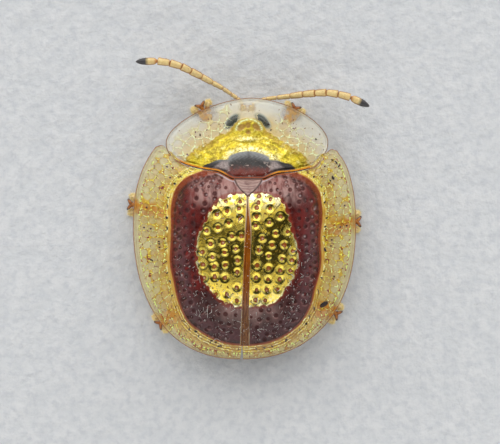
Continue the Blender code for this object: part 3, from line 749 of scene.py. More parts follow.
def elytronAttributes(flat, leaned, side, patch):
    # masks over the top of one wing cover, and how far its surface is moved
    (x, y), (flatX, flatY) = leaned.T, flat.T
    pits = np.array(goldPits[side])
    small = np.vstack([maroonPits(side, patch), baseGrooves(side)])
    bowls = elytra["bowlRadius"] * rng.uniform(0.88, 1.08, len(pits))
    smalls = elytra["smallRadius"] * rng.uniform(0.75, 1.3, len(small))
    bowl, bowlNear = dent(leaned, pits, bowls, elytra["bowlDepth"], 0.002, 0.34, 0.02)
    pit, pitNear = dent(leaned, pits, bowls * elytra["pitShare"], elytra["pitDepth"], 0.0, 0.2)
    bites = goldBites(side, patch)
    bite, biteNear = dent(leaned, bites, elytra["biteRadius"] * rng.uniform(0.5, 1.1, len(bites)), 0.03,
                          0.006)
    dimple, dimpleNear = dent(leaned, small, smalls, elytra["smallDepth"], 0.004, 0.3, 0.25)
    # a pale arc or point of light beside each puncture, and the shade under the head side of each bowl
    crescent, spark, shade = np.zeros((3, len(leaned)))

    def around(place, r):
        close = np.nonzero(np.abs(y - place[1]) < 1.6 * r)[0]
        return close, ((leaned[close] - place) / r).T

    def heighten(mask, close, values):
        mask[close] = np.maximum(mask[close], values)

    for place, r in zip(small, smalls):
        close, (u, v) = around(place, r)
        aim = rng.uniform(-0.9, 0.9)
        along = v * math.cos(aim) + u * math.sin(aim)
        arc = bell(np.hypot(u, v) - 0.9, 0.2) * softStep(0.25, 0.9, along) * rng.uniform(0.0, 0.8)
        heighten(crescent, close, arc)
        point = np.hypot(u - rng.uniform(-0.35, 0.35), v - rng.uniform(-0.2, 0.45))
        heighten(spark, close, bell(point, 0.28) * max(0.0, rng.uniform(-0.8, 0.9)))
    for place, r in zip(pits, bowls):
        close, (u, v) = around(place, r)
        aim = rng.uniform(-0.5, 0.5)
        # behind the crown the dark side of a bowl is the one towards the tail
        aim += math.pi * float(softStep(elytra["flipY"] - 0.2, elytra["flipY"] + 0.2, place[1]))
        along = v * math.cos(aim) + u * math.sin(aim)
        arc = bell(np.hypot(u, v) - 0.86, 0.15) * (0.16 + 0.84 * softStep(0.35, -0.35, along))
        heighten(shade, close, arc * rng.uniform(0.75, 1.0))
        point = np.hypot(u - rng.uniform(-0.12, 0.12), v - rng.uniform(-0.05, 0.2))
        heighten(spark, close, bell(point, 0.15) * rng.uniform(0.0, 0.8))
    across = np.abs(x + 0.15)
    # a painted pinkish-grey sheen over the shoulders and behind the gold patch, where the coat also shines
    # more
    paintedSheen = softStep(0.0, -0.8, y - 0.1) * softStep(2.9, 2.2, across)
    paintedSheen = np.maximum(paintedSheen, 0.8 * softStep(4.1, 4.5, y) * softStep(5.7, 4.9, y + 0.2 * across)
                       * softStep(1.7, 0.9, across))
    away = signedDistance(leaned, patch)
    ragged = 0.04 * np.sin(y * 11.0) * np.sin(x * 9.0)
    middle, tail = elytra["sutureHalf"][side]
    band = middle + (tail - middle) * softStep(4.0, 6.3, flatY)
    fromSuture = np.abs(flatX) - 0.05 - (band - 0.05) * softStep(-0.6, 1.2, flatY)
    gold = softStep(-0.015, 0.02, np.minimum(away + ragged, fromSuture)) * softStep(0.06, 0.0, biteNear)
    glow = softStep(-0.22, 0.02, away)
    suture = 1.0 - softStep(-0.015, 0.015, fromSuture)
    ridge = 0.03 * suture - 0.02 * bell(fromSuture - 0.03, 0.05)
    return {"gold": gold, "pit": pitNear, "bowl": bowlNear, "fromSeam": np.clip(fromSuture, -0.5, 0.5),
            "dimple": dimpleNear, "suture": suture, "glow": glow, "crescent": crescent, "paintedSheen": paintedSheen,
            "spark": spark, "shade": shade, "stripe": flatX * side,
            "cusp": softStep(0.12, 0.0, np.abs(away)) * softStep(0.0, 0.15, gold)}, (
                bowl + pit + dimple + bite + ridge)


def elytronPiece(name, side, patch):
    line, run = evenPoints(elytronOutline(side), elytra["rays"])
    lateral = line[np.argmax((line[:, 0] > 3.86) & (line[:, 1] < -2.8)):]
    inner = np.linspace(0.0, 1.0, elytra["discRings"] + 1)[1:]
    outer = 1.0 + np.linspace(0.0, 1.0, elytra["brimRings"] + 1)[1:]
    coarse = np.concatenate([np.linspace(0.0, 1.0, elytra["underRings"] // 2 + 1)[1:],
                             1.0 + np.linspace(0.0, 1.0, elytra["underRings"] // 2 + 1)[1:]])
    tops = rayGrid(line, np.concatenate([inner, outer]), side)
    unders = rayGrid(line, coarse, side)
    rays = elytra["rays"]

    def flatten(grid):
        return np.vstack([[elytra["eye"]], grid.reshape(-1, 2)])

    top, under = flatten(tops), flatten(unders)
    flat = np.vstack([top, under]) * (side, 1.0)
    leaned, (x, y) = flat.copy(), flat.T
    leaned[:, 0] += leanShift(x, y)
    leaned[:, 0] += side * elytra["notch"] * softStep(6.1, 6.9, y) * bell(x, 0.5)
    atTip = softStep(-1.9, -2.9, y) * softStep(3.2, 3.8, np.abs(x))
    leaned[:, 1] += elytra["tipBack"][side] * atTip
    count = len(top)
    share, _, width = brimShare(x, y)
    z = shellHeight(x, y)
    half = flat * (side, 1.0)
    fromEdge = polylineDistance(half, line)
    fromSide = polylineDistance(half, lateral)
    masks, moved = elytronAttributes(flat, leaned, side, patch)
    onBrim = softStep(0.98, 1.04, discGauge(x, y))
    bead = 0.035 * bell(fromEdge - 0.03, 0.03) - 0.02 * bell(fromEdge - 0.13, 0.06)
    rimRoll = 0.03 * bell(share * width - 0.03, 0.05) - 0.03 * bell(share * width - 0.16, 0.08)
    swell = 0.012 * np.sin(x * 17.0) * np.sin(y * 15.0) * onBrim
    z = z + (bead + swell + rimRoll) * onBrim + moved * (1.0 - onBrim)
    thick = elytra["discThick"] + (elytra["brimThick"] - elytra["discThick"]) * onBrim
    z[count:] = (shellHeight(x, y) - thick)[count:] - 0.02 * (1.0 - onBrim[count:])
    for key in ("gold", "pit", "bowl", "dimple", "crescent", "paintedSheen", "spark", "shade"):
        masks[key][count:] = 0.0
    masks["fromEdge"], masks["fromSide"] = fromEdge, fromSide
    gauge = np.maximum(discGauge(x, y), 1e-6)
    masks["toRim"] = np.clip(np.hypot(x, y - beetle["discY"]) * (1.0 / gauge - 1.0), 0, 4)
    masks["under"] = (np.arange(len(flat)) >= count).astype(float)
    masks["legBelow"] = np.zeros(len(flat))
    for a, b, wide, level in elytra["feet"]:
        near = polylineDistance(leaned, np.array((a, b)))
        masks["legBelow"] = np.maximum(masks["legBelow"], level * softStep(wide + 0.12, wide - 0.1, near))
    along = np.concatenate([[0.0], np.tile(run, len(tops)), [0.0], np.tile(run, len(unders))])
    flow = np.column_stack([along, share * width]) * 0.1

    faces, kinds = [], []

    def at(ring, ray, base):
        return base + (0 if ring == 0 else 1 + (ring - 1) * rays + ray)

    def weave(rings, base, turned, discRings):
        for ring in range(rings):
            for ray in range(rays - 1):
                a, b = at(ring, ray, base), at(ring + 1, ray, base)
                c, d = at(ring + 1, ray + 1, base), at(ring, ray + 1, base)
                face = (a, b, c) if ring == 0 else (a, b, c, d)
                faces.append(face if turned else face[::-1])
                kinds.append(int(ring >= discRings))

    weave(len(tops), 0, side > 0, elytra["discRings"])
    weave(len(unders), count, side < 0, elytra["underRings"] // 2)
    rim = [(at(len(tops), r, 0), at(len(tops), r + 1, 0), at(len(unders), r + 1, count),
            at(len(unders), r, count)) for r in range(rays - 1)]
    faces += [f if side > 0 else f[::-1] for f in rim]
    kinds += [1] * len(rim)

    def seam(rings, base):
        ids = [at(ring, 0, base) for ring in range(rings, 0, -1)] + [at(0, 0, base)]
        return ids + [at(ring, rays - 1, base) for ring in range(1, rings + 1)]

    one, two = seam(len(tops), 0), seam(len(unders), count)
    wall = zipStrip(one, two, flat[one, 1], flat[two, 1])
    faces += [f if side > 0 else f[::-1] for f in wall]
    kinds += [0] * len(wall)

    points = np.column_stack([leaned, z])
    piece = meshPiece(name, points, faces, masks, flow, finishes=(discMaterial, brimMaterial))
    piece.data.polygons.foreach_set("material_index", kinds)
    turnOutward(piece)
    return piece


# finishes of the shells

def cellNetGroup():
    # a net of rounded cells: its thick and thin walls, a dot and a random number in each cell, and glints
    make, given, out = newGroup("cellNet", "ShaderNodeTree",
                                (("Vector", "Vector", (0.0, 0.0, 0.0)), ("Cells", "Float", 30.0),
                                 ("Line", "Float", 0.08), ("Spread", "Float", 0.8)),
                                [(key, "Float") for key in ("Wall", "Thin", "Core", "Chance", "Glint")])
    vector, cells = given["Vector"], given["Cells"]
    shape = {"Vector": vector, "Scale": cells, "Randomness": given["Spread"]}
    edge, core = (make.node("TexVoronoi", shape, feature=kind, voronoi_dimensions="2D")
                  for kind in ("DISTANCE_TO_EDGE", "F1"))
    sway = make.node("TexNoise", {"Vector": vector, "Scale": cells, "Detail": 2.0})
    ragged = make.math("MULTIPLY_ADD", sway.outputs["Fac"], 0.1, edge.outputs["Distance"])
    thin = make.fall(make.math("SUBTRACT", ragged, 0.055), 0.0, given["Line"])
    corner = make.ramp(core.outputs["Distance"], 0.5, 0.58)
    dot = make.fall(core.outputs["Distance"], 0.1, 0.19)
    chance = make.node("SeparateColor", (core.outputs["Color"],)).outputs[0]
    finer = make.times(cells, 3.2)
    glint = make.node("TexNoise", {"Vector": vector, "Scale": finer, "Detail": 1.0}).outputs["Fac"]
    for key, value in (("Wall", make.most(thin, corner)), ("Thin", thin), ("Core", dot), ("Chance", chance),
                       ("Glint", glint)):
        make.put(out[key], value)
    return make.tree


cellNet = cellNetGroup()


def makeDiscMaterial():
    s = Shader("wineAndGoldDisc")
    gold, pit, bowl = s.attr("gold"), s.attr("pit"), s.attr("bowl")
    x, y, _ = s.split(s.place)
    blotch = s.noise(0.9, 4.0)
    streak = s.noise(0.2, 4.0, 0.65, (1.0, 0.2, 0.3))
    comb = s.noise(0.5, 4.0, 0.62, (1.0, 0.35, 0.3))
    wine = s.mix(s.ramp(blotch, 0.32, 0.68), srgb(66, 8, 6), srgb(116, 20, 10))
    rear = s.ramp(y, 3.4 * mm, 5.0 * mm)
    # a painted greyer sheen in a lengthwise band over the side of the disc
    flankShading = s.times(s.band(s.attr("toRim"), 0.12, 0.3, 0.55, 0.95), s.ramp(y, 0.0, 1.5 * mm))
    combed = s.blend(rear, s.ramp(streak, 0.3, 0.62, 0.15, 1.0), s.ramp(comb, 0.38, 0.64, 0.2, 0.85))
    paintedSheen = s.times(s.attr("paintedSheen"), combed)
    dimple = s.ramp(s.attr("dimple"), 0.05, 0.45)
    ember = s.times(s.ramp(s.noise(0.42, 1.0), 0.63, 0.68), s.ramp(s.attr("dimple"), 0.1, 0.5))
    ember = s.times(ember, s.rest(rear))
    # the translucent rim: broad beside the shoulders, thin towards the tail
    thinner = s.ramp(y, -1.5 * mm, 3.2 * mm, 1.0, 3.4)
    toRim = s.times(s.attr("toRim"), thinner)
    # painted shade: a dark line where the inner groove runs beside the rim
    groove = s.band(toRim, 0.22, 0.3, 0.32, 0.44)
    # a painted highlight: a pale line along the bead just behind the base
    bead = s.times(s.band(s.attr("fromEdge"), 0.03, 0.06, 0.08, 0.12), s.ramp(y, -1.0 * mm, -1.3 * mm))
    bead = s.times(bead, s.ramp(s.math("ABSOLUTE", x), 1.5 * mm, 1.1 * mm))
    wine = s.paint(wine, (
        (s.times(rear, s.ramp(blotch, 0.3, 0.6, 1.0, 0.7)), srgb(78, 62, 60)),
        (s.times(flankShading, s.ramp(streak, 0.3, 0.6, 0.35, 0.8)), srgb(98, 62, 66)),
        (s.ramp(streak, 0.45, 0.75, 0.0, 0.5), srgb(44, 10, 10)),
        # painted reflection: a streaked pinkish-grey sheen
        (s.times(paintedSheen, 0.82), srgb(186, 144, 136)),
        # painted shade: the punctures are painted darker, less so inside the painted sheen
        (s.times(dimple, 0.85), s.mix(paintedSheen, srgb(58, 8, 6), srgb(84, 28, 24))),
        (s.times(ember, s.ramp(s.attr("toRim"), 0.9, 1.4, 0.9, 0.2)), srgb(126, 18, 10)),
        (s.times(s.attr("crescent"), 0.7), srgb(180, 128, 122)),
        (s.times(s.attr("spark"), 0.9), srgb(214, 192, 190)),
        (s.ramp(toRim, 0.08, 0.34, 0.85, 0.0), s.mix(rear, srgb(140, 58, 24), srgb(150, 84, 58))),
        (s.times(groove, 0.5), srgb(44, 12, 12)),
        # painted shade along the base and beside the scutellum, where the cover meets the next part, then the
        # painted highlight on the bead
        (s.ramp(s.attr("fromEdge"), 0.0, 0.09, 0.8, 0.0), srgb(70, 26, 10)),
        (s.times(bead, 0.65), srgb(200, 190, 194)),
        (s.ramp(s.attr("glow"), 0.3, 1.0, 0.0, 0.7), srgb(136, 44, 12))))
    dusty = s.grimed(wine, 0.08, 0.25, 0.05)
    patchy = s.noise(0.3, 4.0, 0.65)
    brass = s.mix(s.ramp(patchy, 0.38, 0.64), elytra["goldColour"], (0.74, 0.58, 0.12, 1.0))
    # painted highlights: the front and rear of the gold are painted paler
    ends = s.most(s.ramp(y, 0.2 * mm, -0.5 * mm), s.ramp(y, 3.7 * mm, 4.4 * mm, 0.0, 0.7))
    ends = s.times(ends, s.ramp(patchy, 0.44, 0.56))
    shade = s.times(s.attr("shade"), s.ramp(s.noise(0.14, 2.0), 0.3, 0.55, 0.55, 1.0))
    raggedPit = s.plus(pit, s.times(s.math("SUBTRACT", s.noise(0.12, 2.0, 0.5, (1.2, 0.7, 1.0)), 0.5), 0.8))
    red = s.mix(s.ramp(raggedPit, 0.1, 0.42), srgb(84, 46, 12), srgb(158, 82, 26))
    brass = s.paint(brass, (
        # painted highlights on the ends, the cusps of the edge and inside the bowls; painted shade on one
        # side of each bowl
        (s.times(ends, 0.75), (0.95, 0.9, 0.66, 1.0)),
        (s.times(s.attr("cusp"), 0.7), (0.88, 0.94, 0.62, 1.0)),
        (s.ramp(bowl, 0.05, 0.3, 0.0, 0.5), (0.98, 0.8, 0.14, 1.0)),
        (s.times(shade, 0.92), (0.1, 0.125, 0.065, 1.0))))
    pitMask = s.ramp(raggedPit, 0.06, 0.2)
    colour = s.mix(gold, dusty, brass)
    red = s.mix(s.times(s.attr("spark"), 0.9), red, srgb(250, 236, 210))
    # the seam between the covers: a tawny band with pale sides and a few fine raised lines
    band, stripe = s.attr("suture"), s.attr("stripe")
    grain = s.noise(0.07, 4.0, 0.6, (1.0, 0.12, 0.3))
    tawny = s.mix(s.ramp(grain, 0.3, 0.7), srgb(124, 62, 10), srgb(168, 96, 24))
    lines = s.math("SINE", s.plus(s.times(stripe, 62.0), s.times(grain, 1.5)))
    colour = s.mix(s.times(pitMask, gold), colour, red)
    ridgeEdge = s.band(band, 0.05, 0.3, 0.6, 0.95)
    ridgeEdge = s.times(ridgeEdge, s.ramp(s.noise(0.6, 3.0), 0.36, 0.5, 0.3, 1.0))
    paleSide = s.times(s.ramp(s.attr("fromSeam"), -0.065, -0.03), s.ramp(y, 1.9 * mm, 0.2 * mm))
    dots = s.times(s.ramp(s.noise(0.07, 1.0), 0.7, 0.74), s.ramp(band, 0.9, 1.0))
    tawny = s.paint(tawny, (
        (s.times(rear, 0.75), s.mix(s.ramp(grain, 0.35, 0.65), srgb(96, 60, 38), srgb(138, 98, 62))),
        (s.ramp(lines, 0.2, 0.9, 0.0, 0.5), s.mix(rear, srgb(92, 40, 8), srgb(60, 34, 22))),
        (ridgeEdge, srgb(236, 222, 180)),
        (s.times(paleSide, 0.85), srgb(222, 196, 158)),
        # the same painted shade along the edge beside the scutellum
        (s.ramp(s.attr("fromEdge"), 0.03, 0.06, 0.9, 0.0), srgb(58, 30, 16)),
        (dots, srgb(240, 232, 214))))
    metal = s.times(gold, s.rest(pitMask), s.rest(band))
    rough = s.blend(gold, s.ramp(blotch, 0.2, 0.8, 0.2, 0.34), s.ramp(grain, 0.2, 0.8, 0.12, 0.2))
    fine = s.noise(0.05, 4.0, 0.6)
    patches = s.ramp(s.noise(0.8, 2.0), 0.5, 0.7)
    normal = s.bump(s.times(s.ramp(fine, 0.45, 0.65), patches), 0.012, 0.8)
    normal = s.bump(s.noise(0.16, 3.0), 0.012, 0.6, normal)
    normal = s.bump(streak, 0.02, 0.35, normal)
    lacquer = s.times(s.plus(0.05, s.times(paintedSheen, 0.45)), s.rest(dimple))
    colour = s.mix(band, colour, tawny)
    return s.finish(colour, rough, metal, normal=normal, coat=lacquer, shine=0.18)


def makeBrimMaterial():
    s = Shader("clearGoldRim")
    flow = s.flow()
    wall, thin, core, chance, glint = s.net(flow, Cells=1.0 / 0.035, Line=0.09, Spread=0.7)
    edge = s.attr("fromSide")
    run, fromDisc, _ = s.split(flow)
    wobble = s.noise(0.25, 2.0)
    slow = s.noise(0.9, 2.0)
    x, y, _ = s.split(s.place)
    shoulder = s.ramp(y, 0.2 * mm, -0.8 * mm)
    rear = s.ramp(y, 3.4 * mm, 5.0 * mm)
    # the plain outer strip has no cells, only a broken line along its inner side
    netted = s.most(s.times(s.ramp(fromDisc, 0.012, 0.024), s.rest(rear)), s.ramp(fromDisc, 0.036, 0.044))
    netted = s.times(netted, s.ramp(s.plus(edge, s.times(rear, 0.16)), 0.2, 0.28))
    wall, thin = s.times(wall, netted), s.times(thin, netted)
    core = s.times(core, netted, s.ramp(chance, 0.88, 0.9))
    place = s.plus(edge, s.times(wobble, 0.1))
    dash = s.times(s.band(place, 0.27, 0.3, 0.34, 0.38), s.ramp(s.noise(0.28, 1.0), 0.44, 0.5))
    border = s.fall(s.attr("fromEdge"), 0.02, 0.06)
    wide = s.math("ABSOLUTE", x)
    tucked = s.times(s.ramp(wide, 3.1 * mm, 3.3 * mm), s.ramp(wide, 3.8 * mm, 3.7 * mm))
    tucked = s.times(tucked, s.ramp(y, -2.1 * mm, -2.3 * mm))
    border = s.times(border, s.rest(s.times(tucked, 0.8)))
    inner = s.band(edge, 0.1, 0.13, 0.14, 0.17)
    depth = s.fall(fromDisc, 0.0, 0.1)
    clear = s.mix(s.ramp(slow, 0.35, 0.7), srgb(236, 224, 150), srgb(230, 206, 104))
    below = s.times(s.attr("legBelow"), s.ramp(s.noise(0.22, 3.0), 0.34, 0.58, 0.25, 1.0))
    clear = s.paint(clear, (
        (s.times(s.ramp(s.noise(0.55, 3.0), 0.42, 0.6), s.ramp(fromDisc, 0.03, 0.17, 0.8, 0.15)),
         srgb(224, 174, 56)),
        (s.times(depth, s.ramp(slow, 0.3, 0.7, 1.0, 0.6)), srgb(222, 166, 38)),
        (s.ramp(edge, 0.2, 0.36, 0.85, 0.0), srgb(224, 208, 136)),
        (s.times(netted, s.ramp(chance, 0.3, 0.75), 0.35), srgb(204, 168, 74)),
        (below, srgb(224, 148, 36))))
    colour = s.mix(s.times(wall, 0.85), clear, s.mix(rear, srgb(214, 170, 40), srgb(178, 118, 28)))
    lively = s.ramp(fromDisc, 0.02, 0.15, 0.06, 0.0)
    # painted glints on the thin walls, more of them near the disc
    spark = s.times(thin, s.ramp(s.plus(glint, lively), 0.52, 0.58))
    lime = s.mix(s.ramp(wobble, 0.42, 0.58), srgb(236, 232, 72), srgb(232, 255, 170))
    violet = s.times(wall, s.ramp(s.noise(0.15, 1.0), 0.62, 0.65))
    # the dashes run from brown to a bright painted glint
    dashTone = s.ramp(glint, 0.47, 0.53)
    # bright lines that run beside the disc, painted highlights, and a few long dark pits next to them
    sway = s.times(s.math("SUBTRACT", slow, 0.5), s.blend(rear, 0.03, 0.008))
    sway = s.plus(sway, s.times(s.math("SUBTRACT", wobble, 0.5), rear, 0.016))
    swayed = s.plus(fromDisc, sway)
    line = None
    colour = s.paint(colour, (
        (spark, lime),
        (violet, srgb(138, 44, 42)),
        (core, srgb(80, 42, 18)),
        (dash, s.mix(dashTone, srgb(172, 92, 56), srgb(222, 242, 130))),
        (s.times(inner, 0.35), srgb(176, 140, 84)),
        (border, srgb(160, 104, 62))))
    for near, wide, where in ((0.008, 0.0045, shoulder), (0.018, 0.006, None), (0.036, 0.0045, shoulder),
                              (0.007, 0.004, rear), (0.018, 0.004, rear), (0.03, 0.0045, rear)):
        stroke = s.band(swayed, near - wide, near, near, near + wide)
        broken = s.noise(0.5, 3.0)
        if where is None:
            stroke = s.times(stroke, s.ramp(broken, 0.4, 0.5), s.rest(rear))
        else:
            stroke = s.times(stroke, where, s.ramp(broken, 0.38, 0.52, 0.15, 1.0))
        line = stroke if line is None else s.most(line, stroke)
    gullies = s.times(rear, s.fall(fromDisc, 0.034, 0.042))
    beat = s.math("SINE", s.plus(s.times(run, 92.0), s.times(slow, 16.0)))
    slot = s.times(s.ramp(beat, 0.86, 0.95), s.band(swayed, 0.014, 0.017, 0.025, 0.028))
    gleam = s.mix(s.ramp(glint, 0.46, 0.58), srgb(236, 206, 62), srgb(252, 250, 180))
    crumbs = s.times(s.ramp(s.noise(0.1, 2.0), 0.62, 0.67), rear, s.ramp(edge, 0.05, 0.1))
    # a painted highlight: a bright yellow blaze beside the disc at the shoulder
    blaze = s.times(s.ramp(y, -0.3 * mm, -1.3 * mm), s.ramp(s.noise(0.2, 3.0), 0.42, 0.58))
    blaze = s.times(blaze, s.rest(slot), s.band(fromDisc, 0.005, 0.012, 0.022, 0.036))
    solid = s.most(wall, line, core, slot, blaze, dash, border)
    body = s.plus(0.6, s.times(depth, 0.3))
    alpha = s.math("MAXIMUM", s.times(solid, 0.92), body, clamp=True)
    alpha = s.blend(s.attr("under"), alpha, s.times(alpha, 0.12))
    metal = s.times(depth, 0.22, s.rest(s.most(slot, spark)))
    # the glints on the walls, the bright lines, the bright dashes and the blaze glow faintly: painted light,
    # none on the underside
    lit = s.most(s.times(spark, 0.26), s.times(line, 0.2), s.times(dash, dashTone, 0.16))
    lit = s.times(s.most(lit, s.times(blaze, 0.14)), s.rest(s.most(slot, violet)))
    lit = s.times(lit, s.rest(s.attr("under")))
    fine = s.noise(0.06, 3.0)
    normal = s.bump(fine, 0.008, 0.6)
    normal = s.bump(wall, 0.04, 0.7, normal)
    colour = s.paint(colour, (
        (s.times(gullies, s.ramp(wobble, 0.35, 0.6, 0.3, 0.75)), srgb(158, 104, 30)),
        (line, gleam),
        (s.fall(fromDisc, 0.0, 0.006), srgb(176, 88, 30)),
        (slot, srgb(52, 46, 46)),
        (crumbs, s.mix(s.ramp(wobble, 0.45, 0.55), srgb(74, 44, 20), srgb(186, 104, 18))),
        (s.times(blaze, 0.85), srgb(250, 234, 96))))
    grimy = s.grimed(colour, 0.0, 0.25, 0.12)
    return s.finish(grimy, 0.2, metal, alpha, normal, coat=0.2, shine=0.4,
                    glimmer=s.mix(lit, (0.0, 0.0, 0.0, 1.0), s.mix(line, lime, gleam)))


def makeShieldMaterial():
    s = Shader("glassAndGoldShield")
    flat = s.stretched(s.place, (1.0, 1.0, 0.0))
    wall, thin, _, _, glint = s.net(flat, Cells=1.0 / (0.4 * mm), Line=0.1, Spread=0.8)
    gold, spot, edge, base = s.attr("gold"), s.attr("spot"), s.attr("fromEdge"), s.attr("base")
    beyond, within, rayed = s.attr("beyond"), s.attr("within"), s.attr("rayed")
    netted = s.times(s.fall(beyond, 0.7, 1.2), s.ramp(edge, 0.08, 0.18), s.attr("side"))
    wall, thin = s.times(wall, netted), s.times(thin, netted)
    y = s.split(s.place)["Y"]
    border = s.fall(edge, 0.02, 0.055)
    cloud = s.noise(0.8, 3.0)
    clear = s.mix(s.ramp(cloud, 0.3, 0.75), srgb(246, 246, 235), srgb(241, 235, 212))
    warm = s.times(s.ramp(beyond, 0.1, 1.3, 0.85, 0.0), s.ramp(cloud, 0.25, 0.7, 0.7, 1.0))
    warm = s.times(warm, s.ramp(y, -4.7 * mm, -3.9 * mm, 0.3, 1.0))
    below = s.times(s.attr("legBelow"), s.ramp(s.noise(0.25, 4.0), 0.34, 0.6, 0.4, 1.0))
    clear = s.paint(clear, (
        (warm, srgb(228, 196, 112)),
        (s.times(s.attr("overEye"), 0.85), srgb(170, 186, 172)),
        (s.attr("gleam"), srgb(255, 255, 250)),
        (below, srgb(214, 172, 106))))
    colour = s.mix(s.times(wall, 0.8), clear, srgb(240, 226, 160))
    # painted glints on the thin walls, more of them towards the gold
    spark = s.times(thin, s.ramp(s.plus(glint, s.ramp(beyond, 0.2, 0.9, 0.05, 0.0)), 0.5, 0.57))
    violet = s.times(wall, s.ramp(s.noise(0.2, 1.0), 0.66, 0.69))
    specks = s.times(s.ramp(s.noise(0.12, 1.0), 0.71, 0.74), s.ramp(edge, 0.1, 0.2))
    # gold: mottled, with a painted highlight beside the dark spot and behind the boss, tawny and half clear
    # towards its outer margin
    fan = s.stretched(s.flow(), (1.0, 0.28, 1.0))
    rays = s.times(s.math("SUBTRACT", s.noise(0.022, 4.0, 0.6, vector=fan), 0.5), rayed)
    mottle = s.noise(0.1, 4.0, 0.7)
    broad = s.noise(0.34, 3.0, 0.6)
    brass = s.mix(s.ramp(rays, -0.12, 0.12), (0.7, 0.54, 0.02, 1.0), (0.36, 0.26, 0.02, 1.0))
    colour = s.paint(colour, (
        (spark, srgb(246, 254, 204)),
        (violet, srgb(126, 80, 96)),
        (specks, srgb(128, 84, 44))))
    margin = s.fall(within, 0.0, 0.34)
    brass = s.paint(brass, (
        (s.ramp(mottle, 0.5, 0.66, 0.0, 0.8), (0.88, 0.76, 0.1, 1.0)),
        (s.ramp(mottle, 0.34, 0.46, 0.85, 0.0), (0.26, 0.18, 0.02, 1.0)),
        (s.ramp(broad, 0.56, 0.68, 0.0, 0.6), (0.95, 0.86, 0.3, 1.0)),
        (s.times(margin, s.ramp(mottle, 0.4, 0.6, 0.85, 0.3)), srgb(196, 156, 62)),
        (s.times(s.attr("pale"), s.ramp(mottle, 0.45, 0.54, 0.12, 1.0)), (1.0, 0.93, 0.52, 1.0)),
        (s.times(s.attr("boss"), 0.85), srgb(154, 106, 48))))
    halo = s.times(s.attr("halo"), s.ramp(s.noise(0.09, 2.0), 0.38, 0.52, 0.25, 1.0))
    dusk = s.plus(s.attr("deep"), s.times(s.math("SUBTRACT", s.noise(0.3, 4.0, 0.6), 0.5), 0.8))
    night = s.mix(s.ramp(dusk, 0.05, 0.95), srgb(112, 34, 16), srgb(34, 30, 28))
    colour = s.paint(colour, (
        (gold, brass),
        (halo, srgb(240, 252, 190))))
    hazy = s.noise(0.1, 3.0, 0.65)
    crumbs = s.times(s.ramp(s.noise(0.16, 5.0, 0.75, (0.6, 1.0, 1.0)), 0.56, 0.64), s.attr("crumbly"))
    night = s.paint(night, (
        (s.ramp(s.noise(0.12, 4.0, 0.7), 0.5, 0.72, 0.0, 0.5), srgb(52, 16, 10)),
        # painted reflections on the dark spot: a grey sheen along its top and a grey-pink sheen on the two
        # facets
        (s.attr("sheen"), srgb(150, 152, 154)),
        (s.times(s.attr("sheenFacets"), s.ramp(hazy, 0.3, 0.62, 0.95, 0.5)), srgb(184, 166, 162)),
        (s.times(crumbs, 0.75), srgb(206, 184, 172))))
    amber = s.mix(s.ramp(s.noise(0.4, 2.0), 0.3, 0.7), srgb(230, 154, 6), srgb(196, 112, 2))
    colour = s.mix(spot, colour, night)
    amber = s.mix(s.ramp(s.attr("fromAxis"), 1.25, 0.8), amber, srgb(150, 66, 6))
    colour = s.mix(base, s.mix(border, colour, srgb(140, 92, 52)), amber)
    opaque = s.most(gold, halo, spot, base, border, s.times(wall, 0.85), specks, s.attr("gleam"))
    haze = s.times(s.ramp(beyond, 0.0, 1.4, 0.9, 0.66), s.attr("veil"))
    alpha = s.math("MAXIMUM", s.most(opaque, haze), s.times(below, 0.82), clamp=True)
    alpha = s.blend(s.attr("under"), alpha, s.times(alpha, 0.12))
    shiny = s.times(s.ramp(margin, 0.0, 1.0, 0.62, 0.25), s.ramp(s.attr("boss"), 0.0, 0.6, 1.0, 0.3))
    metal = s.times(gold, shiny, s.rest(spot), s.rest(base))
    # the painted glints and the halo glow faintly as painted light, none on the underside
    lit = s.most(s.times(spark, 0.19, s.rest(s.most(violet, gold))), s.times(halo, 0.1))
    lit = s.times(lit, s.rest(s.attr("under")))
    normal = s.bump(s.times(rays, gold), 0.05, 0.7)
    normal = s.bump(s.times(broad, gold), 0.07, 0.6, normal)
    normal = s.bump(mottle, 0.014, 0.7, normal)
    normal = s.bump(s.times(wall, s.rest(gold)), 0.03, 0.6, normal)
    # the painted shade along the rear seam and its groove
    colour = s.mix(s.attr("seamLine"), colour, srgb(52, 18, 6))
    grimy = s.grimed(colour, 0.08, 0.12, 0.07)
    return s.finish(grimy, 0.24, metal, alpha, normal, coat=0.12, shine=0.3,
                    glimmer=s.mix(lit, (0.0, 0.0, 0.0, 1.0), srgb(226, 255, 214)))


def makeScutellumMaterial():
    s = Shader("wineScutellum")
    rings = s.ramp(s.noise(0.12, 3.0, 0.6, (0.35, 1.0, 1.0)), 0.42, 0.7)
    # painted reflection: the wine-red plate is painted a pale pinkish grey
    colour = s.mix(rings, srgb(178, 146, 136), srgb(128, 86, 78))
    normal = s.bump(rings, 0.02, 0.6)
    colour = s.paint(colour, (
        (s.attr("arcs"), srgb(110, 66, 60)),
        # painted shade along the edge, where the plate meets the covers
        (s.ramp(s.attr("fromEdge"), 0.05, 0.11, 0.95, 0.0), srgb(70, 26, 12))))
    return s.finish(s.grimed(colour, 0.15, 0.2, 0.04), 0.3, 0.0, normal=normal, coat=0.2)


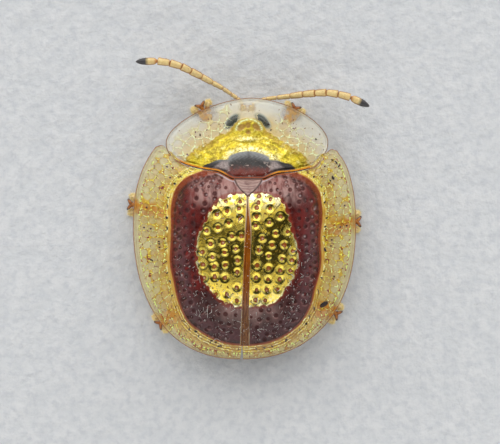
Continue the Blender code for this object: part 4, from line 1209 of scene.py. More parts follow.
def makeCuticle(name, pale, deep, grain, rough, coat, marks=(), glow=None):
    # plain horny skin: mottled, finely shagreened, a little dusty
    s = Shader(name)
    mottle = s.noise(grain * 4.0, 4.0)
    fine = s.noise(grain, 4.0, 0.62)
    colour = s.mix(s.ramp(mottle, 0.3, 0.72), pale, deep)
    colour = s.mix(s.ramp(fine, 0.55, 0.8, 0.0, 0.4), colour, deep)
    for mark, tone in marks:
        colour = s.mix(s.times(s.attr(mark), 0.88), colour, tone)
    # glow is painted light: a faint even emission
    if glow is not None:
        s.bsdf.inputs["Emission Color"].default_value, s.bsdf.inputs["Emission Strength"].default_value = glow
    roughness = s.ramp(mottle, 0.2, 0.8, rough, rough + 0.15)
    return s.finish(s.grimed(colour, 0.12, 0.3, grain), roughness, 0.0, normal=s.bump(fine, 0.02, 0.7),
                    coat=coat)


def makeEyeMaterial():
    s = Shader("facetedEye")
    inputs = {"Vector": s.place, "Scale": 1.0 / (0.028 * mm), "Randomness": 0.25}
    facets = s.node("TexVoronoi", inputs, feature="F1").outputs["Distance"]
    colour = s.mix(s.ramp(s.noise(0.3, 2.0), 0.35, 0.7), srgb(22, 32, 30), srgb(70, 88, 80))
    colour = s.mix(s.ramp(facets, 0.3, 0.6), colour, srgb(26, 26, 28))
    return s.finish(colour, 0.2, 0.0, normal=s.bump(facets, 0.006, 0.8), coat=0.6)


def makeAntennaMaterial():
    s = Shader("antennaHorn")
    tip, joint = s.attr("dark"), s.attr("joint")
    colour = s.mix(s.ramp(s.noise(0.1, 3.0), 0.3, 0.7), srgb(246, 222, 154), srgb(234, 200, 134))
    normal = s.bump(s.noise(0.04, 3.0), 0.006, 0.7)
    colour = s.paint(colour, (
        # the deeper brown on the steep sides of the joints is painted shade
        (s.attr("flankShading"), srgb(160, 98, 42)),
        (joint, srgb(202, 144, 82)),
        (tip, s.mix(s.attr("flankShading"), srgb(64, 62, 64), srgb(48, 36, 30)))))
    return s.finish(colour, 0.38, 0.0, normal=normal, coat=0.15)


discMaterial = makeDiscMaterial()
brimMaterial = makeBrimMaterial()
shieldMaterial = makeShieldMaterial()
scutellumMaterial = makeScutellumMaterial()
bodyMaterial = makeCuticle("bellyHorn", srgb(120, 72, 34), srgb(58, 34, 20), 0.06, 0.34, 0.25)
headMaterial = makeCuticle("headHorn", srgb(232, 220, 184), srgb(206, 180, 128), 0.05, 0.36, 0.2)
legMaterial = makeCuticle("legHorn", srgb(222, 172, 92), srgb(196, 132, 58), 0.05, 0.33, 0.3,
                          marks=(("foot", srgb(196, 120, 36)), ("pad", srgb(255, 230, 166))))
clawMaterial = makeCuticle("clawHorn", srgb(204, 128, 48), srgb(168, 94, 32), 0.05, 0.3, 0.3,
                           marks=(("edge", srgb(92, 42, 14)), ("dark", srgb(30, 26, 30))))
# the bristles take a faint painted glow that lightens them
hairMaterial = makeCuticle("paleBristle", srgb(255, 238, 178), srgb(252, 226, 152), 0.05, 0.6, 0.0,
                           glow=(srgb(255, 226, 146), 0.08))
dustMaterial = makeCuticle("paleLint", srgb(226, 220, 214), srgb(180, 170, 164), 0.05, 0.8, 0.0)
gritMaterial = makeCuticle("darkGrit", srgb(60, 40, 28), srgb(24, 22, 24), 0.05, 0.6, 0.1)
eyeMaterial = makeEyeMaterial()
antennaMaterial = makeAntennaMaterial()
print("finishes ready")

patch = goldOutline()
wingLeft = elytronPiece("wingCoverLeft", 1.0, patch)
wingRight = elytronPiece("wingCoverRight", -1.0, patch)
print("wing covers made")


# the shield over the head, and the scutellum

shield = {
    "across": 250, "along": 120, "thick": 0.13, "edgeThick": 0.09,
    # outline of the gold bell and of the dark spot at its base, as places on the finished beetle
    "gold": ((2.95, -1.2), (2.8, -2.0), (2.62, -2.36), (2.4, -2.62), (2.06, -2.84), (1.6, -3.08),
             (1.17, -3.36), (0.75, -3.54), (0.62, -3.7), (0.5, -3.86), (0.36, -3.99), (0.15, -4.1),
             (-0.18, -4.15), (-0.46, -4.12), (-0.66, -4.04), (-0.82, -3.91), (-0.93, -3.75), (-1.05, -3.55),
             (-1.4, -3.33), (-1.86, -2.98), (-2.18, -2.8), (-2.66, -2.54), (-2.9, -2.2), (-3.0, -1.9),
             (-3.1, -1.2), (2.95, -1.2)),
    "spot": ((1.95, -1.2), (1.93, -1.9), (1.53, -2.1), (1.21, -2.235), (0.95, -2.24), (0.76, -2.25),
             (0.71, -2.37), (0.53, -2.49), (0.21, -2.58), (-0.12, -2.625), (-0.48, -2.6), (-0.85, -2.49),
             (-1.1, -2.37), (-1.16, -2.25), (-1.32, -2.22), (-1.49, -2.21), (-1.81, -2.1), (-2.22, -1.94),
             (-2.4, -1.2), (1.95, -1.2)),
    # two facets beside the middle of the spot that take a painted grey-pink sheen
    "sheenFacets": (((1.03, -2.2), (0.71, -2.18), (0.66, -1.74), (1.46, -1.87), (1.03, -2.2)), ((-1.17, -2.18),
              (-1.42, -2.18), (-1.82, -1.88), (-1.14, -1.72), (-1.17, -2.18))),
    # where the front feet show through: x, y, half length, half width, turn
    "feet": ((1.81, -4.39, 0.44, 0.34, 0.45), (-2.18, -4.36, 0.48, 0.34, -0.45)),
    # the boss over the head: x, y, size and height, and the dimples on it as turned ovals
    "boss": (-0.19, -3.56, 0.64, 0.06),
    "rings": ((0.16, -3.72, 0.24, 0.15, 0.5), (-0.57, -3.72, 0.25, 0.15, -0.6), (-0.17, -3.5, 0.13, 0.11,
              0.0), (-0.16, -3.82, 0.13, 0.16, 0.0)),
    # raised ridges that catch the light: x, y, length, width, turn, height
    "ridges": ((1.0, -2.58, 0.3, 0.11, 0.2, 0.07), (1.63, -2.7, 0.22, 0.1, 0.5, 0.05),
               (1.36, -2.42, 0.22, 0.09, 0.3, 0.05), (-1.35, -2.5, 0.22, 0.11, -0.3, 0.06),
               (-1.83, -2.44, 0.2, 0.1, -0.5, 0.05), (-2.01, -2.7, 0.2, 0.1, -0.6, 0.05),
               (-0.1, -3.14, 0.1, 0.42, 0.0, 0.03), (0.25, -3.1, 0.08, 0.25, -0.3, 0.02),
               (-1.05, -2.75, 0.2, 0.1, -0.3, 0.04), (0.62, -2.8, 0.2, 0.1, 0.4, 0.04)),
    # a painted highlight as a bright broken ring round the boss, which also glows faintly: x, y, half width,
    # half height
    "halo": (-0.206, -3.6, 0.58, 0.485),
    # clearer places in the haze: the first two over the eyes, then the feelers' first joints and the feet
    "windows": ((0.57, -4.0, 0.2, 0.44, -0.8, 0.88), (-0.84, -4.03, 0.2, 0.44, 0.8, 0.9), (0.05,
                -4.6, 0.19, 0.25, 0.25, 0.62), (-0.31, -4.6, 0.2, 0.25, -0.25, 0.62), (1.8, -4.4, 0.55,
                0.32, 0.35, 0.72), (-2.15, -4.36, 0.5, 0.34, -0.35, 0.72), (1.45, -4.2, 0.3, 0.3, 0.0,
                0.3), (-1.85, -4.15, 0.3, 0.3, 0.0, 0.3)),
}

scutellum = {"tip": -0.55, "base": -1.4, "half": 0.66, "rise": 0.035, "thick": 0.14,
             "arcs": ((-1.12, 0.5), (-1.0, 0.8), (-0.9, 0.7), (-1.24, 0.4))}


def slabPiece(name, grid, thick, masks, material, flow=None):
    # a closed plate from a grid of points on its top; thick is one number for each point
    rows, cols = grid.shape[:2]
    top = grid.reshape(-1, 3)
    low = top - np.column_stack([np.zeros(len(top)), np.zeros(len(top)), thick.ravel()])
    count = len(top)
    faces = []
    for i in range(rows - 1):
        for j in range(cols - 1):
            a, b, c, d = i * cols + j, (i + 1) * cols + j, (i + 1) * cols + j + 1, i * cols + j + 1
            faces += [(a, b, c, d), (d + count, c + count, b + count, a + count)]
    ids = np.arange(count).reshape(rows, cols)
    loop = [int(k) for side in (ids[0], ids[1:, -1], ids[-1, -2::-1], ids[-2:0:-1, 0]) for k in side]
    for a, b in zip(loop, loop[1:] + loop[:1]):
        faces.append((a, b, b + count, a + count))
    values = {key: np.tile(value.ravel(), 2) for key, value in masks.items()}
    values["under"] = np.repeat([0.0, 1.0], count)
    flow = None if flow is None else np.vstack([flow, flow])
    piece = meshPiece(name, np.vstack([top, low]), faces, values, flow, finishes=(material,))
    turnOutward(piece)
    return piece


def ovalGauge(x, y, middleX, middleY, wide, tall, turn=0.0):
    # 1 on the edge of a turned oval
    dx, dy = x - middleX, y - middleY
    u, v = dx * math.cos(turn) + dy * math.sin(turn), dy * math.cos(turn) - dx * math.sin(turn)
    return np.hypot(u / wide, v / tall)


def shieldPiece():
    reach = math.asin(0.99995)
    x = beetle["shieldHalf"] * np.sin(np.linspace(-reach, reach, shield["across"]))
    x = np.tile(x[:, None], (1, shield["along"]))
    v = np.linspace(0.0, 1.0, shield["along"])[None, :]
    v = v - 0.08 * np.sin(2.0 * math.pi * v) / math.pi
    front, rear = shieldFrontY(x), shieldRearY(x)
    y = front + (rear - front) * v
    left = x + leanShift(x, y)     # x on the finished beetle, which leans a little
    flat, leaned = np.column_stack([x.ravel(), y.ravel()]), np.column_stack([left.ravel(), y.ravel()])
    edgeX = beetle["shieldHalf"] * np.sin(np.linspace(-math.pi / 2, math.pi / 2, 400))
    toFront, toRear = (polylineDistance(flat, np.column_stack([edgeX, edgeY(edgeX)])).reshape(x.shape)
                       for edgeY in (shieldFrontY, shieldRearY))
    fromEdge = np.minimum(toFront, toRear)
    toGold, toSpot = (-signedDistance(leaned, smoothPath(shield[key], 6)[0]).reshape(x.shape)
                      for key in ("gold", "spot"))
    bossX, bossY, size, lift = shield["boss"]
    fromBoss = np.hypot(left - bossX, y - bossY)
    aim = np.arctan2(left - bossX, y - bossY)
    plain = 0.25 + 0.75 * softStep(0.7, 1.2, fromBoss)
    toGold += 0.07 * np.sin(x * 14.0 + y * 5.0) * np.sin(y * 17.0) * plain
    toGold += 0.05 * np.sin(x * 33.0 + 2.0) * np.sin(y * 39.0) * softStep(1.2, 2.0, np.abs(x))
    z = shieldHeight(x, y) + lift * softStep(size, size * 0.45, fromBoss)
    boss = np.zeros(x.shape)
    for oval in shield["rings"]:
        d = ovalGauge(left, y, *oval)
        z -= 0.02 * softStep(1.1, 0.6, d)
        boss = np.maximum(boss, 0.9 * softStep(1.05, 0.8, d))
    relief = 0.012 * np.sin(aim * 19.0 + 2.0 * np.sin(fromBoss * 4.0)) * softStep(0.7, 1.1, fromBoss)
    for rx, ry, long, wide, turn, height in shield["ridges"]:
        relief += height * bell(ovalGauge(left, y, rx, ry, wide, long, turn), 1.0)
    z += relief * softStep(0.05, -0.25, toGold)
    veil, overEye = np.ones(x.shape), np.zeros(x.shape)
    for k, (*oval, level) in enumerate(shield["windows"]):
        d = ovalGauge(left, y, *oval)
        veil *= 1.0 - level * softStep(1.35, 0.55, d)
        if k < 2:
            overEye = np.maximum(overEye, softStep(1.25, 0.85, d))
    halo = bell(ovalGauge(left, y, *shield["halo"]) - 1.0, 0.075) * softStep(-3.5, -3.7, y)
    fade = softStep(0.0, 0.5, np.abs(x))
    z += 0.04 * bell(fromEdge - 0.035, 0.035) - 0.025 * bell(fromEdge - 0.14, 0.05)
    z += 0.03 * bell(toSpot, 0.09) * softStep(0.3, 0.6, toRear) * fade
    inX = softStep(3.35, 3.0, np.abs(x))
    base = softStep(0.115, 0.085, toRear) * softStep(0.012, 0.03, toRear) * inX
    # painted shade: a dark line where the shield meets the covers, and one in the groove before it
    seamLine = inX * np.maximum(softStep(0.025, 0.01, toRear), bell(toRear - 0.135, 0.022) * 0.9)
    seamLine *= 1.0 - 0.75 * softStep(1.3, 1.9, np.abs(x)) * softStep(0.04, 0.06, toRear)
    off = np.abs(left + 0.21)
    speckle = 0.05 * np.sin(x * 31.0 + 3.0 * np.sin(y * 23.0))
    deep = np.maximum(softStep(-1.55, -2.12, y + speckle),
                      softStep(0.7, 1.15, off + speckle + 0.5 * (-1.9 - y)))
    sheen = 0.85 * softStep(0.5, 0.0, -toSpot + speckle) ** 1.4 * softStep(-2.0, -2.35, y)
    sheen *= 1.0 - 0.5 * bell(left + 0.19, 0.06)
    crumbly = softStep(-2.25, -2.0, y) * softStep(1.25, 0.9, off)
    sheenFacets, feet = np.zeros(x.shape), np.zeros(x.shape)
    for facet in shield["sheenFacets"]:
        inside = signedDistance(leaned, np.array(facet)).reshape(x.shape)
        sheenFacets = np.maximum(sheenFacets, softStep(-0.05, 0.1, inside))
    for fx, fy, long, wide, turn in shield["feet"]:
        feet = np.maximum(feet, softStep(1.12, 0.8, ovalGauge(left, y, fx, fy, wide, long, turn)))
    # painted highlights: a pale bar behind the boss and a pale band beside the spot
    streak = bell(ovalGauge(left, y, -0.1, -3.2, 0.44, 0.09), 1.0)
    pale = np.maximum(bell(toSpot - 0.1, 0.11) * softStep(1.5, 0.9, np.abs(x + 0.1)), streak)
    gleam = 0.8 * bell(fromEdge - 0.17, 0.05) * softStep(2.9, 3.2, np.abs(x)) * softStep(-3.2, -2.7, y)
    masks = {"gold": softStep(0.05, -0.05, toGold), "spot": softStep(0.02, -0.02, toSpot),
             "fromEdge": fromEdge, "base": base, "seamLine": seamLine, "deep": deep,
             "beyond": np.clip(toGold, 0.0, 4.0), "boss": boss,
             "sheen": sheen, "crumbly": crumbly, "sheenFacets": sheenFacets, "legBelow": feet,
             "rayed": softStep(0.62, 1.0, fromBoss),
             "veil": veil, "within": np.clip(-toGold, 0.0, 3.0),
             "pale": pale, "gleam": gleam, "overEye": overEye, "halo": halo,
             "fromAxis": np.abs(x), "side": softStep(0.85, 1.3, np.abs(x + 0.15))}
    grid = np.dstack([left, y, z])
    thick = shield["edgeThick"] + (shield["thick"] - shield["edgeThick"]) * softStep(0.0, 0.5, fromEdge)
    flow = np.column_stack([aim.ravel() * 1.2, fromBoss.ravel()]) * 0.1
    return slabPiece("headShield", grid, thick, masks, shieldMaterial, flow)


def scutellumPiece():
    v = np.linspace(0.0, 1.0, 40)[:, None]
    u = np.linspace(-1.0, 1.0, 44)[None, :]
    y = scutellum["tip"] + (scutellum["base"] - scutellum["tip"]) * v + 0.0 * u
    x = scutellum["half"] * (0.015 + 0.985 * np.sin(v * 1.5) ** 0.86) * u
    fromEdge = scutellum["half"] * np.minimum((1.0 - np.abs(u)) * (0.05 + v), 1.2 * (1.0 - v) + 0.0 * u)
    z = shellHeight(x, y) + scutellum["rise"] + 0.02 * np.sin(v * 26.0) * v * (1.0 - np.abs(u))
    z -= 0.04 * softStep(0.07, 0.0, fromEdge)
    grid = np.dstack([x + leanShift(x, y), y, z])
    arcs = np.zeros(x.shape)
    for middle, level in scutellum["arcs"]:
        arcs = np.maximum(arcs, level * bell(y - middle + 0.35 * x ** 2, 0.022)
                          * softStep(0.42, 0.3, np.abs(x)))
    return slabPiece("scutellumPlate", grid, np.full(x.shape, scutellum["thick"]),
                     {"fromEdge": fromEdge, "arcs": arcs}, scutellumMaterial)


headShield = shieldPiece()
scutellumPlate = scutellumPiece()
print("shield made")


# the body under the shells

body = {
    "front": -3.0, "rear": 5.43, "half": 2.75, "neckHalf": 1.12, "stations": 190, "around": 88,
    "widestY": 0.8, "tailY": 5.45, "underShell": 0.14, "underShield": 0.16, "bellyZ": 1.32,
    "sternites": (2.45, 3.23, 4.01, 4.79), "ridge": 0.09, "grooveDepth": 0.07,
}


def bodyHalf(y):
    fore = body["neckHalf"] + (body["half"] - body["neckHalf"]) * softStep(-3.2, 0.9, y)
    behind = (y - body["widestY"]) / (body["tailY"] - body["widestY"])
    return np.where(behind < 0.0, fore, body["half"] * arch(behind, 2.2))


def bellyHeight(x, y):
    z = body["bellyZ"] + 0.1 * (np.abs(x) / body["half"]) ** 2 - 0.42 * softStep(2.85, 2.98, -y)
    for line in body["sternites"]:
        z = z + body["ridge"] * bell(y - line, 0.12) + body["grooveDepth"] * bell(y - line - 0.09, 0.035)
    z = z + 0.06 * bell(y - 0.2, 0.05) + 0.05 * bell(y + 1.75, 0.05)
    z = z + 0.05 * bell(x, 0.05) * softStep(2.0, 1.4, y) * softStep(-1.6, -1.0, y)
    return z


def roofHeight(x, y):
    shell = shellHeight(x, y) - elytra["discThick"] - body["underShell"]
    cover = shieldHeight(x, y) - shield["thick"] - body["underShield"]
    seam = softStep(-1.2, -2.4, y)
    return np.minimum(shell * (1.0 - seam) + cover * seam, np.where(y < -1.2, cover, shell))


def loftPiece(name, rings, sides, values=None, finishes=()):
    # a closed skin over rings of points, one ring after another
    count = len(rings) // sides
    faces = []
    for i in range(count - 1):
        for k in range(sides):
            j = (k + 1) % sides
            faces.append((i * sides + k, i * sides + j, (i + 1) * sides + j, (i + 1) * sides + k))
    faces.append(tuple(range(sides - 1, -1, -1)))
    faces.append(tuple(range((count - 1) * sides, count * sides)))
    piece = meshPiece(name, rings, faces, values, finishes=finishes)
    turnOutward(piece)
    return piece


def bodyPiece():
    v = np.linspace(0.0, 1.0, body["stations"])
    ys = body["front"] + (body["rear"] - body["front"]) * np.sin(v * math.pi / 2.0)
    angle = np.linspace(0.0, 2.0 * math.pi, body["around"], endpoint=False)
    rings = []
    for y in ys:
        x = float(bodyHalf(np.array(y))) * np.sign(np.cos(angle)) * np.abs(np.cos(angle)) ** 0.85
        here = np.full(x.shape, y)
        low, high = bellyHeight(x, here), roofHeight(x, here)
        middle = low + 0.35 * (high - low)
        lift = np.abs(np.sin(angle)) ** 0.7
        z = np.where(np.sin(angle) > 0.0, middle + (high - middle) * lift, middle - (middle - low) * lift)
        rings.append(np.column_stack([x + leanShift(x, here), here, z]))
    return loftPiece("bodySkin", np.vstack(rings), body["around"], finishes=(bodyMaterial,))


bodySkin = bodyPiece()
print("body made")


# head and eyes

head = {
    "centre": (-0.15, -3.97, 0.82), "half": (0.72, 0.6, 0.44), "voxel": 0.022, "soften": 3,
    "eyeOffset": (0.66, -0.03, 0.08), "eyeHalf": (0.24, 0.44, 0.34), "eyeTurn": 0.8,
}


def headPieces():
    hx, hy, hz = head["centre"]
    at = lambda x, y, z: (hx + x, hy + y, hz + z)
    shapes = [ballShape(head["centre"], head["half"]), ballShape(at(0, 0.42, 0.02), (0.6, 0.3, 0.4))]
    shapes.append(tubeShape([at(0, 0.3, 0.02), at(0.02, 0.72, 0.13)], [0.42, 0.4]))
    shapes.append(ballShape(at(0, -0.4, -0.12), (0.38, 0.28, 0.27)))
    shapes.append(ballShape(at(0, -0.53, -0.3), (0.25, 0.19, 0.16)))
    for side in (-1.0, 1.0):
        shapes.append(ballShape(at(0.17 * side, -0.42, 0.16), (0.16, 0.14, 0.15)))
        shapes.append(ballShape(at(0.24 * side, -0.2, 0.26), (0.22, 0.26, 0.14)))
        brow = [at(0.36 * side, -0.38, 0.14), at(0.44 * side, -0.16, 0.3), at(0.46 * side, 0.14, 0.32)]
        shapes.append(tubeShape(brow, [0.06, 0.08, 0.06], 12))
    headCapsule = fusePiece("headCapsule", shapes, head["voxel"], head["soften"], headMaterial)
    jaws = []
    for side in (-1.0, 1.0):
        path, _ = smoothPath([at(0.24 * side, -0.46, -0.34), at(0.25 * side, -0.62, -0.38),
                              at(0.13 * side, -0.74, -0.4), at(0.02 * side, -0.78, -0.4)], 4)
        jaws.append(tubeShape(path, np.linspace(0.1, 0.025, len(path)), 12, 0.7))
    mouth = mergePiece("mandibles", jaws, clawMaterial)
    palps = []
    for side in (-1.0, 1.0):
        for reach, spread, thin in ((0.3, 0.34, 1.0), (0.16, 0.14, 0.75)):
            knots = [at(spread * side, -0.42, -0.42), at(spread * side * 1.15, -0.42 - reach * 0.5, -0.5),
                     at(spread * side * 0.95, -0.42 - reach, -0.55)]
            for a, b, r in zip(knots[:-1], knots[1:], (0.065, 0.06)):
                path = [Vector(a).lerp(Vector(b), t) for t in (0.0, 0.25, 0.8, 1.0)]
                palps.append(tubeShape(path, [r * 0.6 * thin, r * thin, r * thin, r * 0.5 * thin], 12))
    palpPiece = mergePiece("mouthPalps", palps, headMaterial)
    eyes = []
    for side, name in ((1.0, "eyeLeft"), (-1.0, "eyeRight")):
        ox, oy, oz = head["eyeOffset"]
        turn = Matrix.Rotation(-head["eyeTurn"] * side, 3, "Z")
        eyes.append(mergePiece(name, [ballShape(at(ox * side, oy, oz), head["eyeHalf"], turn, 64, 40)],
                               eyeMaterial))
    return headCapsule, mouth, palpPiece, eyes


headCapsule, mandibles, mouthPalps, (eyeLeft, eyeRight) = headPieces()
print("head made")


def settingTree():
    # sets one small piece at every point, turned and sized by the point's own values
    make, given, out = newGroup("setPieces", "GeometryNodeTree",
                                (("Points", "Geometry", None), ("Piece", "Object", None),
                                 ("Size", "Float", 1.0), ("Unevenness", "Float", 0.0), ("Seed", "Int", 3),
                                 ("Finish", "Material", None)), (("Pieces", "Geometry"),))

    def stored(name):
        kind = "GeometryNodeInputNamedAttribute"
        return make.node(kind, {"Name": name}, data_type="FLOAT_VECTOR").outputs["Attribute"]

    chance = make.node("FunctionNodeRandomValue", {2: -1.0, 3: 1.0, "Seed": given["Seed"]},
                       data_type="FLOAT")
    uneven = make.math("MULTIPLY_ADD", chance.outputs[1], given["Unevenness"], given["Size"])
    scale = make.node("VectorMath", {0: stored("size"), "Scale": uneven}, operation="SCALE")
    shape = make.node("GeometryNodeObjectInfo", {"Object": given["Piece"]}).outputs["Geometry"]
    placed = make.node("GeometryNodeInstanceOnPoints",
                       {"Points": given["Points"], "Instance": shape, "Rotation": stored("turn"),
                        "Scale": scale.outputs[0]})
    real = make.node("GeometryNodeRealizeInstances", {"Geometry": placed.outputs["Instances"]})
    inputs = {"Geometry": real.outputs["Geometry"], "Material": given["Finish"]}
    make.put(out["Pieces"], make.node("GeometryNodeSetMaterial", inputs).outputs["Geometry"])
    return make.tree


setPieces = settingTree()
tuftPatch = 0.003          # width of one small tuft on the bake's UV map


def bakePieces(name, places, aims, rolls, sizes, template, finish, roots=None, uneven=0.0, seed=3):
    # one mesh of the template at each place, its own Z along the aim; roots are places on the skin's unwrap
    mesh = bpy.data.meshes.new(name + "Points")
    mesh.from_pydata([tuple(Vector(p) * mm) for p in places], [], [])
    turns = [tuple((Vector(aim).to_track_quat("Z", "Y").to_matrix() @ Matrix.Rotation(roll, 3,
                                                                                      "Z")).to_euler())
             for aim, roll in zip(aims, rolls)]
    for key, values in (("turn", turns), ("size", sizes)):
        layer = mesh.attributes.new(key, "FLOAT_VECTOR", "POINT")
        layer.data.foreach_set("vector", np.asarray(values, np.float32).ravel())
    holder = linked(name + "Points", mesh)
    node = holder.modifiers.new("setting", "NODES")
    node.node_group = setPieces
    ids = {item.name: item.identifier for item in setPieces.interface.items_tree if item.in_out == "INPUT"}
    for key, value in (("Piece", template), ("Size", 1.0), ("Unevenness", uneven), ("Seed", seed),
                       ("Finish", finish)):
        node[ids[key]] = value
    baked = evaluatedMesh(holder)
    for key in ("turn", "size"):
        if key in baked.attributes:
            baked.attributes.remove(baked.attributes[key])
    baked.polygons.foreach_set("material_index", [0] * len(baked.polygons))
    if roots is not None:
        shape = pointsOf(template)
        spread = 0.5 * tuftPatch * np.column_stack([shape[:, 0] / np.abs(shape[:, 0]).max(),
                                                    2.0 * shape[:, 2] / shape[:, 2].max() - 1.0])
        setMap(baked, "OFBake", (np.asarray(roots)[:, None, :] + spread[None, :, :]).reshape(-1, 2))
    return addPiece(name, baked, (finish,))


def lathe(name, profile, sides, values=None, bend=0.0):
    # profile holds (radius, height) pairs; flat faces close the ends
    turns = [2.0 * math.pi * k / sides for k in range(sides)]
    points = [(r * math.cos(a) + bend * h * h, r * math.sin(a), h) for r, h in profile for a in turns]
    return loftPiece(name, points, sides, {"joint": np.repeat(values, sides)} if values else None)


bead = lathe("beadShape", ((0.4, -0.5), (0.66, -0.492), (0.76, -0.475), (0.86, -0.44), (0.92, -0.28),
                           (0.96, 0.0), (1.0, 0.25), (1.0, 0.44), (0.95, 0.475), (0.78, 0.492),
                           (0.4, 0.497)), 26, (1, 1, 0.7, 0.2, 0.0, 0.0, 0.0, 0.1, 0.5, 1, 1))
tipBead = lathe("tipShape", ((0.28, -0.5), (0.45, -0.49), (0.52, -0.44), (0.82, -0.39), (0.95, -0.3),
                             (1.0, -0.12), (0.97, 0.05), (0.86, 0.2), (0.68, 0.32), (0.44, 0.42),
                             (0.2, 0.48), (0.05, 0.5)), 26, (1, 1, 1, 0.5, 0.1, 0, 0, 0, 0, 0, 0, 0))
pebble = lathe("pebbleShape", ((0.25, -0.9), (0.7, -0.7), (0.95, -0.3), (1.0, 0.1), (0.8, 0.55),
                               (0.3, 0.85)), 9)
sliver = lathe("sliverShape", ((0.9, 0.0), (1.0, 0.2), (0.8, 0.6), (0.12, 1.0)), 4, None, 0.25)


# antennae

antennae = {
    "base": 0.98, "lift": 0.75, "droop": 0.2, "scape": 0.13, "thin": 0.092, "thick": 0.175,
    "tipDark": 0.42, "hairs": 11, "hairWidth": 0.007, "hairLength": (0.05, 0.09),
    "left": ((0.03, -4.4), (0.07, -4.76), (0.33, -5.08), (0.61, -5.26), (0.98, -5.52), (1.48, -5.79),
             (1.97, -6.06), (2.47, -6.31), (2.89, -6.52), (3.42, -6.68), (3.98, -6.76), (4.98, -6.74)),
    "right": ((-0.3, -4.4), (-0.35, -4.76), (-0.66, -4.93), (-0.98, -5.05), (-1.48, -5.1), (-2.09,
              -5.17), (-2.68, -5.25), (-3.24, -5.3), (-3.76, -5.32), (-4.29, -5.25), (-4.85, -5.1),
              (-5.72, -4.69)),
}


def joinPieces(name, pieces, material):
    joined = bmesh.new()
    for piece in pieces:
        joined.from_mesh(piece.data)
        bpy.data.objects.remove(piece, do_unlink=True)
    mesh = bpy.data.meshes.new(name)
    joined.to_mesh(mesh)
    joined.free()
    return addPiece(name, mesh, (material,))


def feelerPiece(name, joints):
    joints = np.array(joints)
    run = np.concatenate([[0.0], np.cumsum(np.hypot(*np.diff(joints, axis=0).T))])
    run /= run[-1]
    z = (antennae["base"] + antennae["lift"] * softStep(0.3, 0.75, run) - antennae["droop"]
         * softStep(0.8, 1.0, run))
    knots = np.column_stack([joints, z])
    middle, along = (knots[1:] + knots[:-1]) / 2.0, np.diff(knots, axis=0)
    length = np.linalg.norm(along, axis=1)
    fat = antennae["thin"] + (antennae["thick"] - antennae["thin"]) * softStep(0.22, 0.6, run[1:])
    fat[0] = antennae["scape"]
    fat[1] = antennae["thin"] * 1.1
    flat = np.column_stack([fat, fat * 0.9, length * 0.985])
    rolls = np.zeros(len(middle))
    beads = bakePieces(name + "Beads", middle[:-1], along[:-1], rolls, flat[:-1], bead, antennaMaterial)
    tip = bakePieces(name + "Tip", middle[-1:], along[-1:], rolls[-1:],
                     [(fat[-1] * 0.98, fat[-1] * 0.88, length[-1])], tipBead, antennaMaterial)
    bristles = []
    for centre, way, r, size in zip(middle, along, fat, length):
        unit = Vector(way).normalized()
        side = unit.cross(Vector((0, 0, 1))).normalized()
        up = side.cross(unit)
        for _ in range(antennae["hairs"]):
            a, t = rng.uniform(0, 2 * math.pi), rng.uniform(-0.35, 0.45)
            out = side * math.cos(a) + up * math.sin(a)
            place = Vector(centre) + unit * size * t + out * r * 0.9
            thin, long = antennae["hairWidth"], rng.uniform(*antennae["hairLength"])
            bristles.append((place, unit * 1.3 + out, a, (thin, thin, long)))
    hairs = bakePieces(name + "Hairs", *zip(*bristles), sliver, antennaMaterial)
    piece = joinPieces(name, [beads, tip, hairs], antennaMaterial)
    spots = pointsOf(piece)
    end, back = knots[-1], knots[-2]
    share = ((spots - back) @ (end - back)) / ((end - back) @ (end - back))
    start = antennae["tipDark"]
    dark = softStep(start, start + 0.08, share + 0.03 * np.sin(spots[:, 1] * 30.0))
    # painted shade: the steep sides of each joint are painted a deeper brown than its top
    setValues(piece.data, {"dark": dark, "flankShading": softStep(0.72, 0.4, steepness(piece))})
    return piece


feelerLeft = feelerPiece("feelerLeft", antennae["left"])
feelerRight = feelerPiece("feelerRight", antennae["right"])
print("antennae made")


# legs

legs = {
    "coxaZ": 0.72, "ankleZ": 0.34, "soleZ": 0.145, "voxel": 0.026, "soften": 3,
    "knees": {"Front": 0.62, "Mid": 0.66, "Hind": 0.76},
    # hip, knee, ankle and the end of the claw joint
    "FrontLeft": ((0.55, -2.35), (2.05, -2.5), (1.53, -3.79), (2.0, -4.72)),
    "FrontRight": ((-0.95, -2.35), (-2.4, -2.55), (-1.83, -3.74), (-2.32, -4.64)),
    "MidLeft": ((0.9, -0.75), (3.0, -0.95), (4.08, -0.1), (5.22, -0.2)),
    "MidRight": ((-1.1, -0.7), (-3.05, -0.45), (-4.08, 0.55), (-5.2, 0.58)),
    "HindLeft": ((0.7, 0.85), (2.65, 2.5), (3.05, 4.6), (3.88, 5.28)),
    "HindRight": ((-0.85, 0.85), (-2.85, 2.15), (-3.3, 4.25), (-4.24, 4.84)),
    "clawReach": 0.15, "clawSpread": 0.25, "fringe": 260, "fringeLength": (0.06, 0.15), "hairWidth": 0.009,
    # a claw and its tooth: shares of the reach and the spread, and the height over the claw joint
    "hook": ((0.08, 0.24, 0.04), (0.5, 0.55, 0.03), (0.88, 0.84, -0.02), (0.92, 1.0, -0.13)),
    "tooth": ((0.34, 0.3, -0.04), (0.4, 0.36, -0.1)),
}


def legRow(name):
    return name.removesuffix("Left").removesuffix("Right")


def lifted(place, height):
    return place + Vector((0, 0, height))


def limbShape(knots, shares, radii, sides, flat=1.0, steps=5):
    # a soft tube through a few knots, with its radius given at shares of its length
    path, run = smoothPath(knots, steps)
    return tubeShape(path, np.interp(run, shares, radii), sides, flat)


